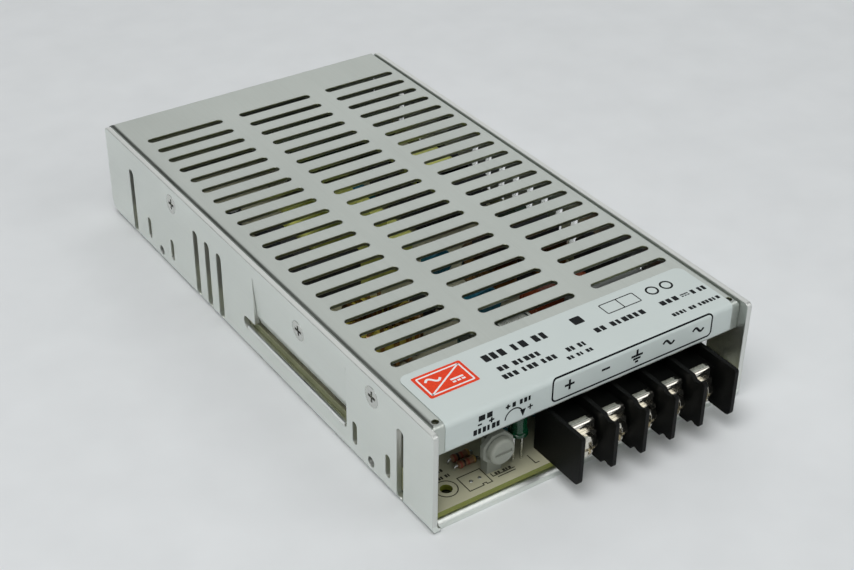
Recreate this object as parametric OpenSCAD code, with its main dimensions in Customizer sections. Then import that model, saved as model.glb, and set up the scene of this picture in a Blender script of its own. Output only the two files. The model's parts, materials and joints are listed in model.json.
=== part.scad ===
// Low-profile enclosed power supply: a bent chassis with a pressed-in heat panel, a slotted cover,
// a screw terminal block, a trimmer, an indicator lamp and a filled circuit board.
// Frame: origin at the centre of the underside, +Z up, terminals at the front (-Y), millimetres.

/* [Case] */
// Width over the two long walls
case_w = 99; // [96:0.5:110]
// Length of the two long walls
case_l = 179; // [177:0.5:190]
// Height of the closed case
case_h = 30; // [29.5:0.5:36]
// Thickness of the chassis sheet
sheet = 1.5; // [1.2:0.1:1.8]
// Outside radius of the two long chassis bends
bend_r = 2.5; // [2.2:0.1:3]
// Radius of the walls' lower rear corners
rear_corner_r = 6; // [3:0.5:8]
// How far the floor's front edge stands behind the walls' front edges
floor_setback = 1; // [0:0.1:1.5]
// Radius of the walls' other free corners
wall_corner_r = 1.2; // [0.5:0.1:2]

/* [Cover] */
// Thickness of the cover sheet
cover_sheet = 1; // [0.8:0.1:1.2]
// Outside radius of the cover's bends
cover_bend_r = 1.6; // [1.5:0.1:2]
// Gap between the cover and the chassis
cover_gap = 0.1; // [0.05:0.05:0.3]
// How far the front flange stands behind the walls' front edges
flange_setback = 2.7; // [2:0.1:3.5]
// Height of the front flange and the screw tabs, from the top face
flange_h = 8.4; // [8:0.1:9]
// Height of the side flanges between the screw tabs
side_flange_h = 3.4; // [3.2:0.1:3.7]
// Width of a screw tab
tab_w = 12; // [9:0.5:13]
// Corner radius of a screw tab
tab_r = 2; // [1:0.1:3]
// How far the rear flange stands out behind the walls' rear edges
rear_stand = 1; // [0.2:0.1:1.2]
// Corner radius of the rear flange
rear_flange_r = 3; // [2.6:0.1:5]
// Diameter of the relief hole at each front corner of the cover
relief_d = 1.8; // [1.2:0.1:2]
// Distance of the relief holes from the flanges' inner faces
relief_gap = 0.2; // [0.1:0.05:0.4]

/* [Cover vents] */
// Length of one vent slot
vent_l = 25; // [20:0.5:26.5]
// Width of one vent slot
vent_w = 2.6; // [2:0.1:3.2]
// Distance between vent columns
vent_col_pitch = 31.1; // [29:0.1:31.5]
// Distance between vent rows
vent_row_pitch = 7.08; // [6:0.02:7.1]
// Number of vent columns
vent_cols = 3; // [1:1:3]
// Number of vent rows
vent_rows = 20; // [5:1:20]
// Offset of the vent pattern to the right of the case's middle
vent_offset = 1.1; // [-1.5:0.1:1.5]
// First vent row, from the rear edge
vent_rear = 16; // [12:0.5:16]

/* [Wall slots] */
// Width of a tall slot
tall_w = 3; // [2:0.1:3.5]
// Lower end of the tall slots
tall_low = 0.9; // [0.6:0.1:3]
// Distance of the tall slots' upper ends from the walls' top edges
tall_drop = 7; // [5:0.1:12]
// The tall slot near the rear end, from the rear edge
tall_rear = 17; // [14:0.5:20]
// The tall slot near the front end, from the rear edge
tall_front = 165; // [163.5:0.5:168]
// First tall slot of the middle row, from the rear edge
row_rear = 59; // [55:0.5:61]
// Distance between tall slots of the middle row
row_pitch = 7.1; // [6:0.1:7.3]
// Number of tall slots in the left wall's middle row
row_left = 3; // [1:1:3]
// Number of tall slots in the right wall's middle row
row_right = 12; // [3:1:12]
// Width of a short slot
short_w = 2.2; // [1.5:0.1:2.6]
// Lower end of the short slots
short_low = 4.5; // [3.5:0.1:6]
// Length of a short slot
short_l = 7; // [5:0.1:9]
// Distance of the short slots from the mounting hole between them
short_offset = 7.6; // [6.5:0.1:8]

/* [Mounting holes] */
// Diameter of the tapped side holes
mount_d = 3; // [2.5:0.1:4]
// Height of the side holes above the underside
mount_z = 4; // [3.9:0.1:5]
// Rear side hole, from the rear edge
mount_rear = 35; // [33:0.5:36]
// Distance between the two side holes of a wall
mount_pitch = 117; // [116:0.5:118]

/* [Heat panel] */
// Rear end of the pressed-in wall panel, from the rear edge
panel_rear = 93; // [91:0.5:94]
// Length of the panel
panel_l = 47.6; // [44:0.2:48.4]
// Distance of the panel's fold line from the wall's top edge
panel_drop = 4; // [3.9:0.1:5]
// Height of the panel
panel_h = 15.2; // [14:0.1:15.8]
// Height of the panel's lower lip
lip_h = 3; // [1:0.1:3.4]
// How far the panel stands in at the start of its lip
panel_in = 0.9; // [0.4:0.1:1.2]
// How much further the lip turns in
lip_in = 1.1; // [0.5:0.1:1.3]
// Height of the long slit below the panel
slit_h = 3.8; // [3:0.1:4.2]
// How far the slit runs on behind the panel
slit_tail = 6.4; // [4:0.1:8]
// Radius of the slit's lower front corner
slit_r = 1.2; // [0.5:0.1:2]
// Width of the cut at each end of the panel
panel_cut = 0.2; // [0.15:0.05:0.5]

/* [Case screws] */
// Head diameter of a flush screw
flush_d = 5.8; // [5:0.1:5.9]
// Shank diameter of a flush screw
flush_shank_d = 2.9; // [2.4:0.1:3]
// Radial play of a screw in its hole
screw_play = 0.05; // [0.02:0.01:0.1]
// Distance of the cover screws from the top face
cover_screw_drop = 5.3; // [5:0.1:5.6]
// Rear cover screw, from the rear edge
cover_screw_rear = 44.5; // [40:0.5:49]
// Front cover screw, from the rear edge
cover_screw_front = 152.5; // [150:0.5:154]
// Length of a cover screw
cover_screw_l = 4.5; // [3.5:0.5:6]
// Distance of the clamp screw from the panel's fold line
clamp_screw_drop = 3; // [3:0.1:3.4]

/* [Board] */
// Thickness of the circuit board
pcb_t = 1.6; // [1.2:0.1:2]
// Gap between the board's edges and the walls
pcb_gap = 0.6; // [0.4:0.1:1.2]
// How far the board's front edge stands behind the walls' front edges
pcb_front = 1; // [0.5:0.1:2]
// How far the board's rear edge stands in front of the walls' rear edges
pcb_rear = 4.5; // [3:0.5:6]
// Height of the standoffs that carry the board
standoff_h = 2.5; // [2.2:0.1:2.8]
// Diameter of a standoff
standoff_d = 6; // [5.2:0.1:6.4]
// Diameter of the board screws' shanks
pcb_screw_d = 2.5; // [2:0.1:3]
// Head diameter of the board screws
pcb_head_d = 5.6; // [5:0.1:6]
// Head height of the board screws
pcb_head_h = 2; // [1.5:0.1:2.5]
// Length of the edge notches at the side holes
notch_l = 8; // [6:0.5:9]
// Depth of those notches, from the wall
notch_w = 5; // [4:0.5:5]
// Thickness of the insulating sheet on the chassis floor
film_t = 0.25; // [0.15:0.05:0.4]
// Height of that sheet's turned-up sides above the floor
film_side_h = 8.2; // [6:0.1:8.6]

/* [Terminal block] */
// Distance between terminals
term_pitch = 9.5; // [9.3:0.1:9.8]
// Middle of the block, to the right of the case's middle
term_x = 11.7; // [11:0.1:13]
// How far the barriers stand out in front of the walls
term_out = 10; // [8.5:0.1:11]
// Depth of the block from the barriers' front to its back
term_depth = 17.8; // [17:0.1:18.5]
// Height of the barriers above the board
barrier_h = 14.6; // [14:0.1:14.8]
// Thickness of a barrier
barrier_t = 1.2; // [1:0.1:1.6]
// Extra width of the two end bays
end_extra = 1; // [0.5:0.1:1.5]
// Height of the block's body above the board
body_h = 11.4; // [11:0.1:11.8]
// Thickness of a terminal plate
plate_t = 0.8; // [0.6:0.1:1]
// Width of a terminal plate
plate_w = 6.8; // [6.2:0.1:7]
// Depth of a terminal plate's upper fold
plate_fold = 2.4; // [2:0.1:3]
// Outside radius of that fold
plate_bend_r = 1; // [0.4:0.1:1.2]
// Distance from the barriers' front to the plates' faces
plate_recess = 6.9; // [6.5:0.1:7.2]
// Length of a terminal plate's tail, from its face to its solder leg
tail_l = 8; // [7.6:0.1:8.6]
// Width of a terminal plate's tail
tail_w = 2.4; // [1.6:0.1:3]
// Height of the terminal screws above the board
screw_h = 6.3; // [6:0.1:6.6]
// Head diameter of a terminal screw
head_d = 6.4; // [6:0.1:6.6]
// Head height of a terminal screw
head_h = 2.2; // [1.8:0.1:2.4]
// Shank diameter of a terminal screw
shank_d = 3.4; // [3:0.1:3.6]
// Shank length of a terminal screw
shank_l = 7.6; // [7:0.1:8]
// Radial play of the shank in its plate and washer
shank_play = 0.1; // [0.05:0.01:0.15]
// Side of a square clamp washer
washer_w = 7; // [6.6:0.1:7.2]
// Thickness of a clamp washer
washer_t = 0.9; // [0.7:0.1:1.1]

/* [Trimmer] */
// Distance of the trimmer's axis to the left of the case's middle
trim_left = 27.2; // [26.9:0.1:27.5]
// Height of the trimmer's axis above the board
trim_h = 8.2; // [7.9:0.1:8.5]
// Distance of the holder's face behind the walls' front edges
trim_face = 4.7; // [4.4:0.1:4.9]
// Width of the holder's eight-sided plate across its flats
trim_flats = 8.8; // [8.4:0.1:8.9]
// Thickness of that plate
trim_plate_t = 1.4; // [1.2:0.1:1.6]
// Width of the holder's body behind the plate
trim_body_w = 4.4; // [4:0.1:4.8]
// Depth of that body
trim_body_l = 2.5; // [2.3:0.1:2.8]
// Diameter of the turning cap
cap_d = 7.2; // [6.8:0.1:7.6]
// Length of the turning cap
cap_l = 2.2; // [1.8:0.1:2.6]
// Rounding of the cap's front edge
cap_r = 0.8; // [0.3:0.1:1]
// Diameter of the cap's spindle
spindle_d = 3.4; // [3:0.1:4.4]
// Radial play of the spindle
spindle_play = 0.08; // [0.04:0.01:0.1]

/* [Indicator] */
// Distance of the indicator to the left of the case's middle
led_left = 20.1; // [19.6:0.1:20.1]
// Distance of the indicator behind the walls' front edges
led_back = 6.3; // [6.1:0.1:6.6]
// Diameter of the indicator's lens
led_d = 4.2; // [3.6:0.1:4.4]
// Height of the indicator's base above the board
led_stand = 8.7; // [8.4:0.1:9]
// Height of the indicator from its base to the top of its dome
led_l = 6.7; // [6:0.1:6.8]

/* [Label] */
// Distance of the printed film's left end from the cover's left face
label_left = 3.5; // [3.2:0.1:8]
// Distance of the film's right end from the cover's right face
label_right = 2.7; // [2.6:0.1:8]
// How far the film reaches over the top, from the walls' front edges
label_reach = 23.4; // [20:0.1:23.6]
// Thickness of the film
label_t = 0.15; // [0.1:0.05:0.25]
// Corner radius of the film
label_r = 2.5; // [1:0.1:4]
// Distance of the film's lower edge from the front flange's edge
label_margin = 0.4; // [0.2:0.1:1]

/* [Transformer and chokes] */
// Width of the transformer core
trafo_w = 34; // [30:0.5:35]
// Length of the transformer core
trafo_l = 30; // [27:0.5:32]
// Height of the transformer over its taped winding
trafo_h = 20.5; // [18:0.5:21]
// Width of the boost choke's core
boost_w = 26; // [24:0.5:27]
// Length of the boost choke's core
boost_l = 26; // [24:0.5:28]
// Height of the boost choke over its winding
boost_h = 19; // [17:0.5:20]
// Mean radius of the ring-shaped output choke core
ring_r = 8; // [7:0.1:8.5]
// Radial thickness of that core
ring_w = 5; // [4:0.1:5.5]
// Height of that core
ring_h = 8; // [6:0.1:9]
// Wire diameter of its turns
wire_d = 1.1; // [0.8:0.1:1.3]
// Number of its turns
turns = 18; // [10:1:20]
// Width of the line choke's frame-shaped core
line_w = 24; // [22:0.5:25]
// Depth of the line choke's core
line_t = 9; // [7:0.5:9.5]
// Height of the line choke's core
line_h = 19; // [16:0.5:20]
// Width of the core's two wound legs
line_leg = 6; // [5:0.5:6.5]
// Height of the core's yokes
line_yoke = 4.5; // [3.5:0.5:5]
// Thickness of the line choke's windings
line_coil = 2.55; // [1.5:0.05:2.7]

/* [Capacitors] */
// Diameter of the bulk capacitor
bulk_d = 20; // [16:0.5:21]
// Length of the bulk capacitor
bulk_l = 40; // [30:0.5:44]
// Diameter of an output capacitor
can_d = 10; // [8:0.1:10.5]
// Height of an output capacitor
can_h = 20; // [16:0.5:21]
// Distance between output capacitors
can_pitch = 12; // [11.5:0.1:12.5]
// Diameter of a small capacitor
small_d = 6.3; // [5:0.1:6.5]
// Height of a small capacitor
small_h = 11; // [8:0.5:12]
// Width, depth and height of the boxed filter capacitor
filter_size = [26, 10, 18];
// Width, depth and height of the dipped film capacitor
film_cap_size = [20, 8, 14];
// Diameter of a disc capacitor
disc_d = 8.5; // [7:0.5:9]
// Diameter of the varistor and of the thermistor
big_disc_d = 11; // [9:0.5:12]

/* [Hidden] */
$fn = 64;
// Room that cutting shapes reach past the faces they cut
past = 1;

// The case
wall_x = case_w / 2 - sheet;
front_y = -case_l / 2;
cover_x = wall_x - cover_gap;
flange_y = front_y + flange_setback;
flange_z = case_h - flange_h;
rear_y = case_l / 2 + rear_stand;
pcb_z = sheet + standoff_h;
pcb_top = pcb_z + pcb_t;

function from_rear(d) = case_l / 2 - d;
function from_front(d) = front_y + d;

mount_ys = [from_rear(mount_rear), from_rear(mount_rear + mount_pitch)];
cover_screw_ys = [from_rear(cover_screw_rear), from_rear(cover_screw_front)];
cover_screw_z = case_h - cover_screw_drop;
tall_high = case_h - tall_drop;

// The pressed-in panel and what is clamped to it
panel_top = case_h - panel_drop;
panel_low = panel_top - panel_h;
lip_z = panel_low + lip_h;
slit_low = panel_low - slit_h;
panel_y = from_rear(panel_rear + panel_l / 2);
panel_angle = atan(panel_in / (panel_top - lip_z));
clamp_y = panel_y;
pad_t = 0.4;
pad_margin = 1;
device_w = 10;
device_t = 4.6;
device_l = 10.4;
device_drop = 1.1;
device_pitch = 24;
bar_t = 1.6;
bar_l = 38;
bar_w = 7;
bar_drop = 0.6;
clamp_tip = 0.9;
clamp_l = sheet + pad_t + device_t + bar_t + clamp_tip;

// The board: used holes, the free hole, and the place of an optional two-pin plug
hole_d = pcb_screw_d + 0.7;
left_hole_side = 8;
right_hole_side = 6;
left_front_hole = 31.5;
left_rear_hole = 13.5;
right_front_hole = 9.5;
right_rear_hole = 11.5;
hole_pts = [[left_hole_side - wall_x, from_front(left_front_hole)],
            [left_hole_side - wall_x, from_rear(left_rear_hole)],
            [wall_x - right_hole_side, from_rear(right_rear_hole)],
            [wall_x - right_hole_side, from_front(right_front_hole)]];
free_hole_side = 7.3;
free_hole_front = 7;
free_hole = [free_hole_side - wall_x, from_front(free_hole_front)];
plug_side = 15.2;
plug_front = 6;
plug_pt = [plug_side - wall_x, from_front(plug_front)];
plug_pin_pitch = 2.5;
plug_pin_d = 1;
film_front = 2.4;
film_gap = 0.1;
film_r = 1.5;
film_lip_h = 1.8;
film_hole_play = 0.3;

// The terminal block
term_n = 5;
term_front = front_y - term_out;
term_back = term_front + term_depth;
plate_y = term_front + plate_recess;
block_half = term_n * term_pitch / 2 + end_extra;
barrier_top = pcb_top + barrier_h;
body_top = pcb_top + body_h;
screw_z = pcb_top + screw_h;
plate_low = pcb_top + 1;
leg_y = plate_y + tail_l;
leg_play = 0.15;
leg_below = 1.5;
bore_play = 0.4;
barrier_xs = [for (i = [1 : term_n - 1]) term_x + (i - term_n / 2) * term_pitch];
function bay_x(i) = term_x + (i - (term_n - 1) / 2) * term_pitch;

// The trimmer
trim_x = -trim_left;
trim_y = from_front(trim_face);
trim_z = pcb_top + trim_h;
cap_gap = 0.15;
spindle_l = 3;
spindle_room = 0.3;
driver_w = 0.9;
driver_depth = 0.4;

// Wound parts: shares of their outside sizes, and the play between core, former and winding
core_share = 0.55;
yoke_share = 0.18;
side_leg_share = 0.15;
middle_leg_share = 0.28;
winding_share = 0.66;
former_wall = 0.8;
cheek_t = 1.2;
former_play = 0.1;
tape_margin = 0.4;
coil_play = 0.15;

// Places of the board's parts: as shares of the case's width to the right of the middle,
// and of its length behind the front edges
function board_pt(x, y) = [x * case_w, from_front(y * case_l)];
trafo_at = board_pt(-0.141, 0.573);
boost_at = board_pt(0.288, 0.656);
bulk_at = board_pt(0.141, 0.86);
cans_at = board_pt(-0.081, 0.148);
ring_at = board_pt(-0.222, 0.366);
line_choke_at = board_pt(0.263, 0.388);
filter_at = board_pt(0.303, 0.176);
film_cap_at = board_pt(0.2525, 0.271);
fuse_at = board_pt(0.263, 0.0894);
varistor_at = board_pt(0.061, 0.324);
disc_pts = [board_pt(0.091, 0.469), board_pt(0.091, 0.701)];
small_chip_at = board_pt(0.04, 0.246);
large_chip_at = board_pt(-0.141, 0.737);
opto_pts = [board_pt(-0.04, 0.402), board_pt(0.026, 0.402)];
small_can_pts = [board_pt(-0.384, 0.726), board_pt(-0.303, 0.76), board_pt(-0.384, 0.793)];

// Parts that keep their distance from a wall
bridge_side = 4.5;
bridge_at = [wall_x - bridge_side, board_pt(0, 0.29)[1]];
thermistor_side = 7;
thermistor_at = [wall_x - thermistor_side, board_pt(0, 0.503)[1]];
resistor_side = 16.5;
resistor_front = 11.6;
resistor_pitch = 2.8;
resistor_pts = [for (i = [0, 1])
                [resistor_side - wall_x, from_front(resistor_front + i * resistor_pitch)]];

// Extrudes a side view, drawn as [y, z], along X about the origin
module along_x(length) {
    rotate([90, 0, 90]) linear_extrude(length, center = true) children();
}

// Extrudes a front view, drawn as [x, z], along Y about the origin
module along_y(length) {
    rotate([90, 0, 0]) linear_extrude(length, center = true) children();
}

// What rounding takes off a corner: the corner is at the origin, its sides run along +X and +Y
module corner_off_2d(r) {
    difference() {
        translate([-past, -past]) square(r + past);
        translate([r, r]) circle(r);
    }
}

// Rectangle that stands on its middle bottom point, with its two lower corners rounded
module trough_2d(w, h, r) {
    difference() {
        translate([-w / 2, 0]) square([w, h]);
        translate([-w / 2, 0]) corner_off_2d(r);
        translate([w / 2, 0]) mirror([1, 0]) corner_off_2d(r);
    }
}

// Rectangle about the origin with four rounded corners
module round_rect_2d(w, l, r) {
    square([w - 2 * r, l], center = true);
    square([w, l - 2 * r], center = true);
    for (sx = [-1, 1], sy = [-1, 1]) translate([sx * (w / 2 - r), sy * (l / 2 - r)]) circle(r);
}

// Slot with round ends about the origin, its length along the first axis
module slot_2d(l, w) {
    square([l - w, w], center = true);
    for (s = [-1, 1]) translate([s * (l - w) / 2, 0]) circle(d = w);
}

// Upright slot with round ends between two heights
module upright_slot_2d(w, low, high) {
    translate([0, (low + high) / 2]) rotate(90) slot_2d(high - low, w);
}

// Places a shape that points along +Z so that it points into the case through a side wall
module into_wall(side, y, z) {
    translate([side * case_w / 2, y, z]) rotate([0, -side * 90, 0]) children();
}

// Cuts a side view through one long wall
module wall_cut(side, y) {
    translate([side * (case_w - sheet) / 2, y, 0]) along_x(sheet + 2 * past) children();
}

// Local frame of the panel's inner face: X into the case, Z up from the fold line
module on_panel() {
    translate([-wall_x, 0, panel_top]) rotate([0, -panel_angle, 0]) children();
}

// Places a shape that points along +Z on the clamp screw's axis, depth counted from the panel's inner face
module on_clamp_axis(depth) {
    on_panel() translate([depth, clamp_y, -clamp_screw_drop]) rotate([0, 90, 0]) children();
}

// Countersunk head and shank along +Z, its face at the origin, grown by the play
module flush_form(length, play) {
    cylinder(h = sheet, d1 = flush_d + 2 * play, d2 = flush_shank_d + 2 * play);
    cylinder(h = length, d = flush_shank_d + 2 * play);
}

// Cross recess cut along +Z from the origin's plane
module cross_recess(span, depth) {
    arm = span / 4;
    for (a = [0, 90]) rotate(a) translate([-span / 2, -arm / 2, -past]) cube([span, arm, depth + past]);
}

module flush_screw(length) {
    recess_span = flush_d * 0.55;
    recess_depth = sheet * 0.6;
    difference() {
        flush_form(length, 0);
        cross_recess(recess_span, recess_depth);
    }
}

// Outline of a long wall seen from the side, drawn as [y, z]
module wall_side_2d() {
    difference() {
        translate([front_y, 0]) square([case_l, case_h]);
        translate([front_y, 0]) corner_off_2d(wall_corner_r);
        translate([front_y, case_h]) mirror([0, 1]) corner_off_2d(wall_corner_r);
        translate([-front_y, case_h]) rotate(180) corner_off_2d(wall_corner_r);
        translate([-front_y, 0]) mirror([1, 0]) corner_off_2d(rear_corner_r);
    }
}

// Bent section of the panel, drawn as [x, z] from the wall's outer face, its top edge inside the wall
module panel_2d() {
    lip_x = panel_in + lip_in;
    polygon([[0, panel_top + past], [sheet, panel_top + past], [sheet, panel_top],
             [sheet + panel_in, lip_z], [sheet + lip_x, panel_low],
             [lip_x, panel_low], [panel_in, lip_z], [0, panel_top]]);
}

// Vent slots, tapped holes and countersinks of one long wall
module wall_openings(side, row_n) {
    row = [for (i = [0 : row_n - 1]) row_rear + i * row_pitch];
    for (d = concat([tall_rear, tall_front], row))
        wall_cut(side, from_rear(d)) upright_slot_2d(tall_w, tall_low, tall_high);
    for (y = mount_ys) {
        wall_cut(side, y) translate([0, mount_z]) circle(d = mount_d);
        for (s = [-1, 1])
            wall_cut(side, y + s * short_offset) upright_slot_2d(short_w, short_low, short_low + short_l);
    }
    for (y = cover_screw_ys) into_wall(side, y, cover_screw_z) flush_form(sheet + past, screw_play);
}

// Bent sheet across the case, as long as the walls
module chassis_section() {
    along_y(case_l) difference() {
        trough_2d(case_w, case_h, bend_r);
        translate([0, sheet]) trough_2d(case_w - 2 * sheet, case_h, bend_r - sheet);
    }
}

module chassis() {
    floor_y = from_front(floor_setback);
    floor_l = rear_y - cover_sheet - cover_gap - floor_y;
    color("#c9cbc6") {
        difference() {
            intersection() {
                chassis_section();
                union() {
                    for (s = [-1, 1])
                        translate([s * (case_w - bend_r) / 2, 0, 0]) along_x(bend_r) wall_side_2d();
                    translate([-case_w / 2 + bend_r, floor_y, 0])
                        cube([case_w - 2 * bend_r, floor_l, sheet]);
                }
            }
            wall_openings(-1, row_left);
            wall_openings(1, row_right);
            wall_cut(-1, panel_y) translate([-panel_l / 2, slit_low]) difference() {
                square([panel_l, panel_top - slit_low]);
                corner_off_2d(slit_r);
            }
            wall_cut(-1, panel_y + (panel_l + slit_tail - slit_h) / 2)
                translate([0, slit_low + slit_h / 2]) slot_2d(slit_tail + slit_h, slit_h);
        }
        difference() {
            translate([-case_w / 2, panel_y, 0]) along_y(panel_l - 2 * panel_cut) panel_2d();
            on_clamp_axis(-sheet) flush_form(sheet + past, screw_play);
        }
    }
}

// Cover section across the case, down to the edges of the side flanges
module cover_section_2d() {
    inner_w = 2 * (cover_x - cover_sheet);
    translate([0, case_h]) mirror([0, 1]) difference() {
        trough_2d(2 * cover_x, side_flange_h, cover_bend_r);
        translate([0, cover_sheet]) trough_2d(inner_w, side_flange_h, cover_bend_r - cover_sheet);
    }
}

// Outer face of the cover's front end, drawn as [y, z], grown outwards by g
module front_end_2d(g) {
    reach = case_l / 2;
    translate([flange_y - g, case_h + g]) mirror([0, 1]) difference() {
        square([reach, case_h]);
        corner_off_2d(cover_bend_r + g);
    }
}

// Sheet bent down at the front end, drawn as [y, z]
module front_bend_2d() {
    intersection() {
        difference() {
            front_end_2d(0);
            front_end_2d(-cover_sheet);
        }
        translate([flange_y, flange_z]) square([cover_bend_r + past, flange_h]);
    }
}

// Sheet bent through a right angle between the top and the rear flange, drawn as [y, z]
module rear_bend_2d() {
    translate([rear_y - cover_bend_r, case_h - cover_bend_r]) intersection() {
        difference() {
            circle(cover_bend_r);
            circle(cover_bend_r - cover_sheet);
        }
        square(cover_bend_r);
    }
}

module vent_slots_2d() {
    for (c = [0 : vent_cols - 1], r = [0 : vent_rows - 1]) {
        x = vent_offset + (c - (vent_cols - 1) / 2) * vent_col_pitch;
        translate([x, from_rear(vent_rear + r * vent_row_pitch)]) slot_2d(vent_l, vent_w);
    }
}

module cover() {
    bend_front = flange_y + cover_bend_r;
    bend_rear = rear_y - cover_bend_r;
    rear_low = sheet + cover_gap;
    relief_low = case_h - cover_bend_r;
    relief_in = cover_sheet + relief_gap + relief_d / 2;
    color("#c4c9c6") difference() {
        union() {
            translate([0, (bend_front + bend_rear) / 2, 0])
                along_y(bend_rear - bend_front) cover_section_2d();
            intersection() {
                along_x(2 * cover_x) {
                    front_bend_2d();
                    rear_bend_2d();
                }
                along_y(2 * rear_y) translate([0, case_h]) mirror([0, 1])
                    trough_2d(2 * cover_x, case_h, cover_bend_r);
            }
            translate([0, rear_y - cover_sheet / 2, rear_low]) along_y(cover_sheet)
                trough_2d(2 * cover_x, case_h - cover_bend_r - rear_low, rear_flange_r);
            for (s = [-1, 1], y = cover_screw_ys)
                translate([s * (cover_x - cover_sheet / 2), y, flange_z]) along_x(cover_sheet)
                    trough_2d(tab_w, flange_h - cover_bend_r, tab_r);
        }
        translate([0, 0, case_h - cover_sheet - past])
            linear_extrude(cover_sheet + 2 * past) vent_slots_2d();
        for (s = [-1, 1]) {
            translate([s * (cover_x - relief_in), flange_y + relief_in, relief_low])
                cylinder(h = case_h + past - relief_low, d = relief_d);
            for (y = cover_screw_ys) into_wall(s, y, cover_screw_z)
                cylinder(h = cover_screw_l + past, d = flush_shank_d + 2 * screw_play);
        }
    }
}

module label_film() {
    label_w = 2 * cover_x - label_left - label_right;
    label_x = (label_left - label_right) / 2;
    label_rear = from_front(label_reach);
    label_low = flange_z + label_margin;
    color("#cfd8dc") translate([label_x, 0, 0]) difference() {
        along_x(label_w) intersection() {
            difference() {
                front_end_2d(label_t);
                front_end_2d(0);
            }
            translate([flange_y - past, label_low]) square([label_rear - flange_y + past, case_h]);
        }
        for (s = [0, 1]) mirror([s, 0, 0]) translate([-label_w / 2, label_rear, case_h - past])
            mirror([0, 1, 0]) linear_extrude(2 * past) corner_off_2d(label_r);
    }
}

module cover_screws() {
    color("#a9aca9") for (s = [-1, 1], y = cover_screw_ys)
        into_wall(s, y, cover_screw_z) flush_screw(cover_screw_l);
}

module clamp_screw() {
    color("#a9aca9") on_clamp_axis(-sheet) flush_screw(clamp_l);
}

module clamp_bar() {
    bar_x = pad_t + device_t;
    color("#b3b5b5") difference() {
        on_panel() translate([bar_x, clamp_y - bar_l / 2, -bar_drop - bar_w]) cube([bar_t, bar_l, bar_w]);
        on_clamp_axis(bar_x - past) cylinder(h = bar_t + 2 * past, d = flush_shank_d + 2 * screw_play);
    }
}

module power_transistors() {
    lead_l = (panel_top - pcb_top) / cos(panel_angle) - device_drop - device_l;
    lead_w = 0.9;
    lead_t = 0.6;
    lead_pitch = 2.54;
    device_low = -device_drop - device_l;
    color("#26272a") on_panel() for (s = [-1, 1])
        translate([pad_t, clamp_y + s * device_pitch / 2, device_low]) {
            translate([0, -device_w / 2, 0]) cube([device_t, device_w, device_l]);
            for (i = [-1 : 1]) translate([device_t / 2, i * lead_pitch - lead_w / 2, -lead_l])
                cube([lead_t, lead_w, lead_l]);
        }
}

module thermal_pad() {
    pad_l = device_pitch + device_w + 2 * pad_margin;
    hole_play = 0.3;
    color("#8c8f94") difference() {
        on_panel() translate([0, clamp_y - pad_l / 2, -device_drop - device_l])
            cube([pad_t, pad_l, device_l]);
        on_clamp_axis(-past) cylinder(h = pad_t + 2 * past, d = flush_shank_d + 2 * hole_play);
    }
}

// Room inside the walls for screws in the side holes, between two heights
module side_hole_room(low, high) {
    for (s = [-1, 1], y = mount_ys)
        translate([s * wall_x - notch_w, y - notch_l / 2, low]) cube([2 * notch_w, notch_l, high - low]);
}

module insulating_sheet() {
    film_y = from_front(film_front);
    film_l = from_rear(pcb_rear) - film_y;
    film_w = 2 * (wall_x - film_gap);
    color("#6f7440") difference() {
        union() {
            translate([0, film_y + film_l / 2, sheet]) along_y(film_l) difference() {
                trough_2d(film_w, film_side_h, film_r);
                translate([0, film_t]) trough_2d(film_w - 2 * film_t, film_side_h, film_r - film_t);
            }
            translate([film_r - film_w / 2, film_y, sheet])
                cube([film_w - 2 * film_r, film_t, film_lip_h]);
        }
        side_hole_room(0, case_h);
        for (p = hole_pts) translate([p[0], p[1], sheet - past])
            cylinder(h = film_t + 2 * past, d = standoff_d + 2 * film_hole_play);
    }
}

module standoffs() {
    color("#b8a15a") for (p = hole_pts) translate([p[0], p[1], sheet]) difference() {
        cylinder(h = standoff_h, d = standoff_d);
        translate([0, 0, -past]) cylinder(h = standoff_h + 2 * past, d = pcb_screw_d + 2 * screw_play);
    }
}

module board_screws() {
    end_room = 0.4;
    shank = pcb_t + standoff_h - end_room;
    crown_d = pcb_head_d * 0.8;
    recess_span = pcb_head_d * 0.5;
    recess_depth = pcb_head_h * 0.6;
    color("#b9bab6") for (p = hole_pts) translate([p[0], p[1], pcb_top]) difference() {
        union() {
            translate([0, 0, -shank]) cylinder(h = shank, d = pcb_screw_d);
            cylinder(h = pcb_head_h, d1 = pcb_head_d, d2 = crown_d);
        }
        translate([0, 0, pcb_head_h]) mirror([0, 0, 1]) cross_recess(recess_span, recess_depth);
    }
}

module circuit_board() {
    w = 2 * (wall_x - pcb_gap);
    y0 = from_front(pcb_front);
    cut_z = pcb_z - past;
    cut_h = pcb_t + 2 * past;
    color("#d9d6b4") difference() {
        translate([-w / 2, y0, pcb_z]) cube([w, from_rear(pcb_rear) - y0, pcb_t]);
        side_hole_room(cut_z, cut_z + cut_h);
        for (p = concat(hole_pts, [free_hole]))
            translate([p[0], p[1], cut_z]) cylinder(h = cut_h, d = hole_d);
        for (s = [-1, 1]) translate([plug_pt[0] + s * plug_pin_pitch / 2, plug_pt[1], cut_z])
            cylinder(h = cut_h, d = plug_pin_d);
        for (i = [0 : term_n - 1])
            translate([bay_x(i) - tail_w / 2 - leg_play, leg_y - plate_t - leg_play, cut_z])
                cube([tail_w + 2 * leg_play, plate_t + 2 * leg_play, cut_h]);
    }
}

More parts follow.
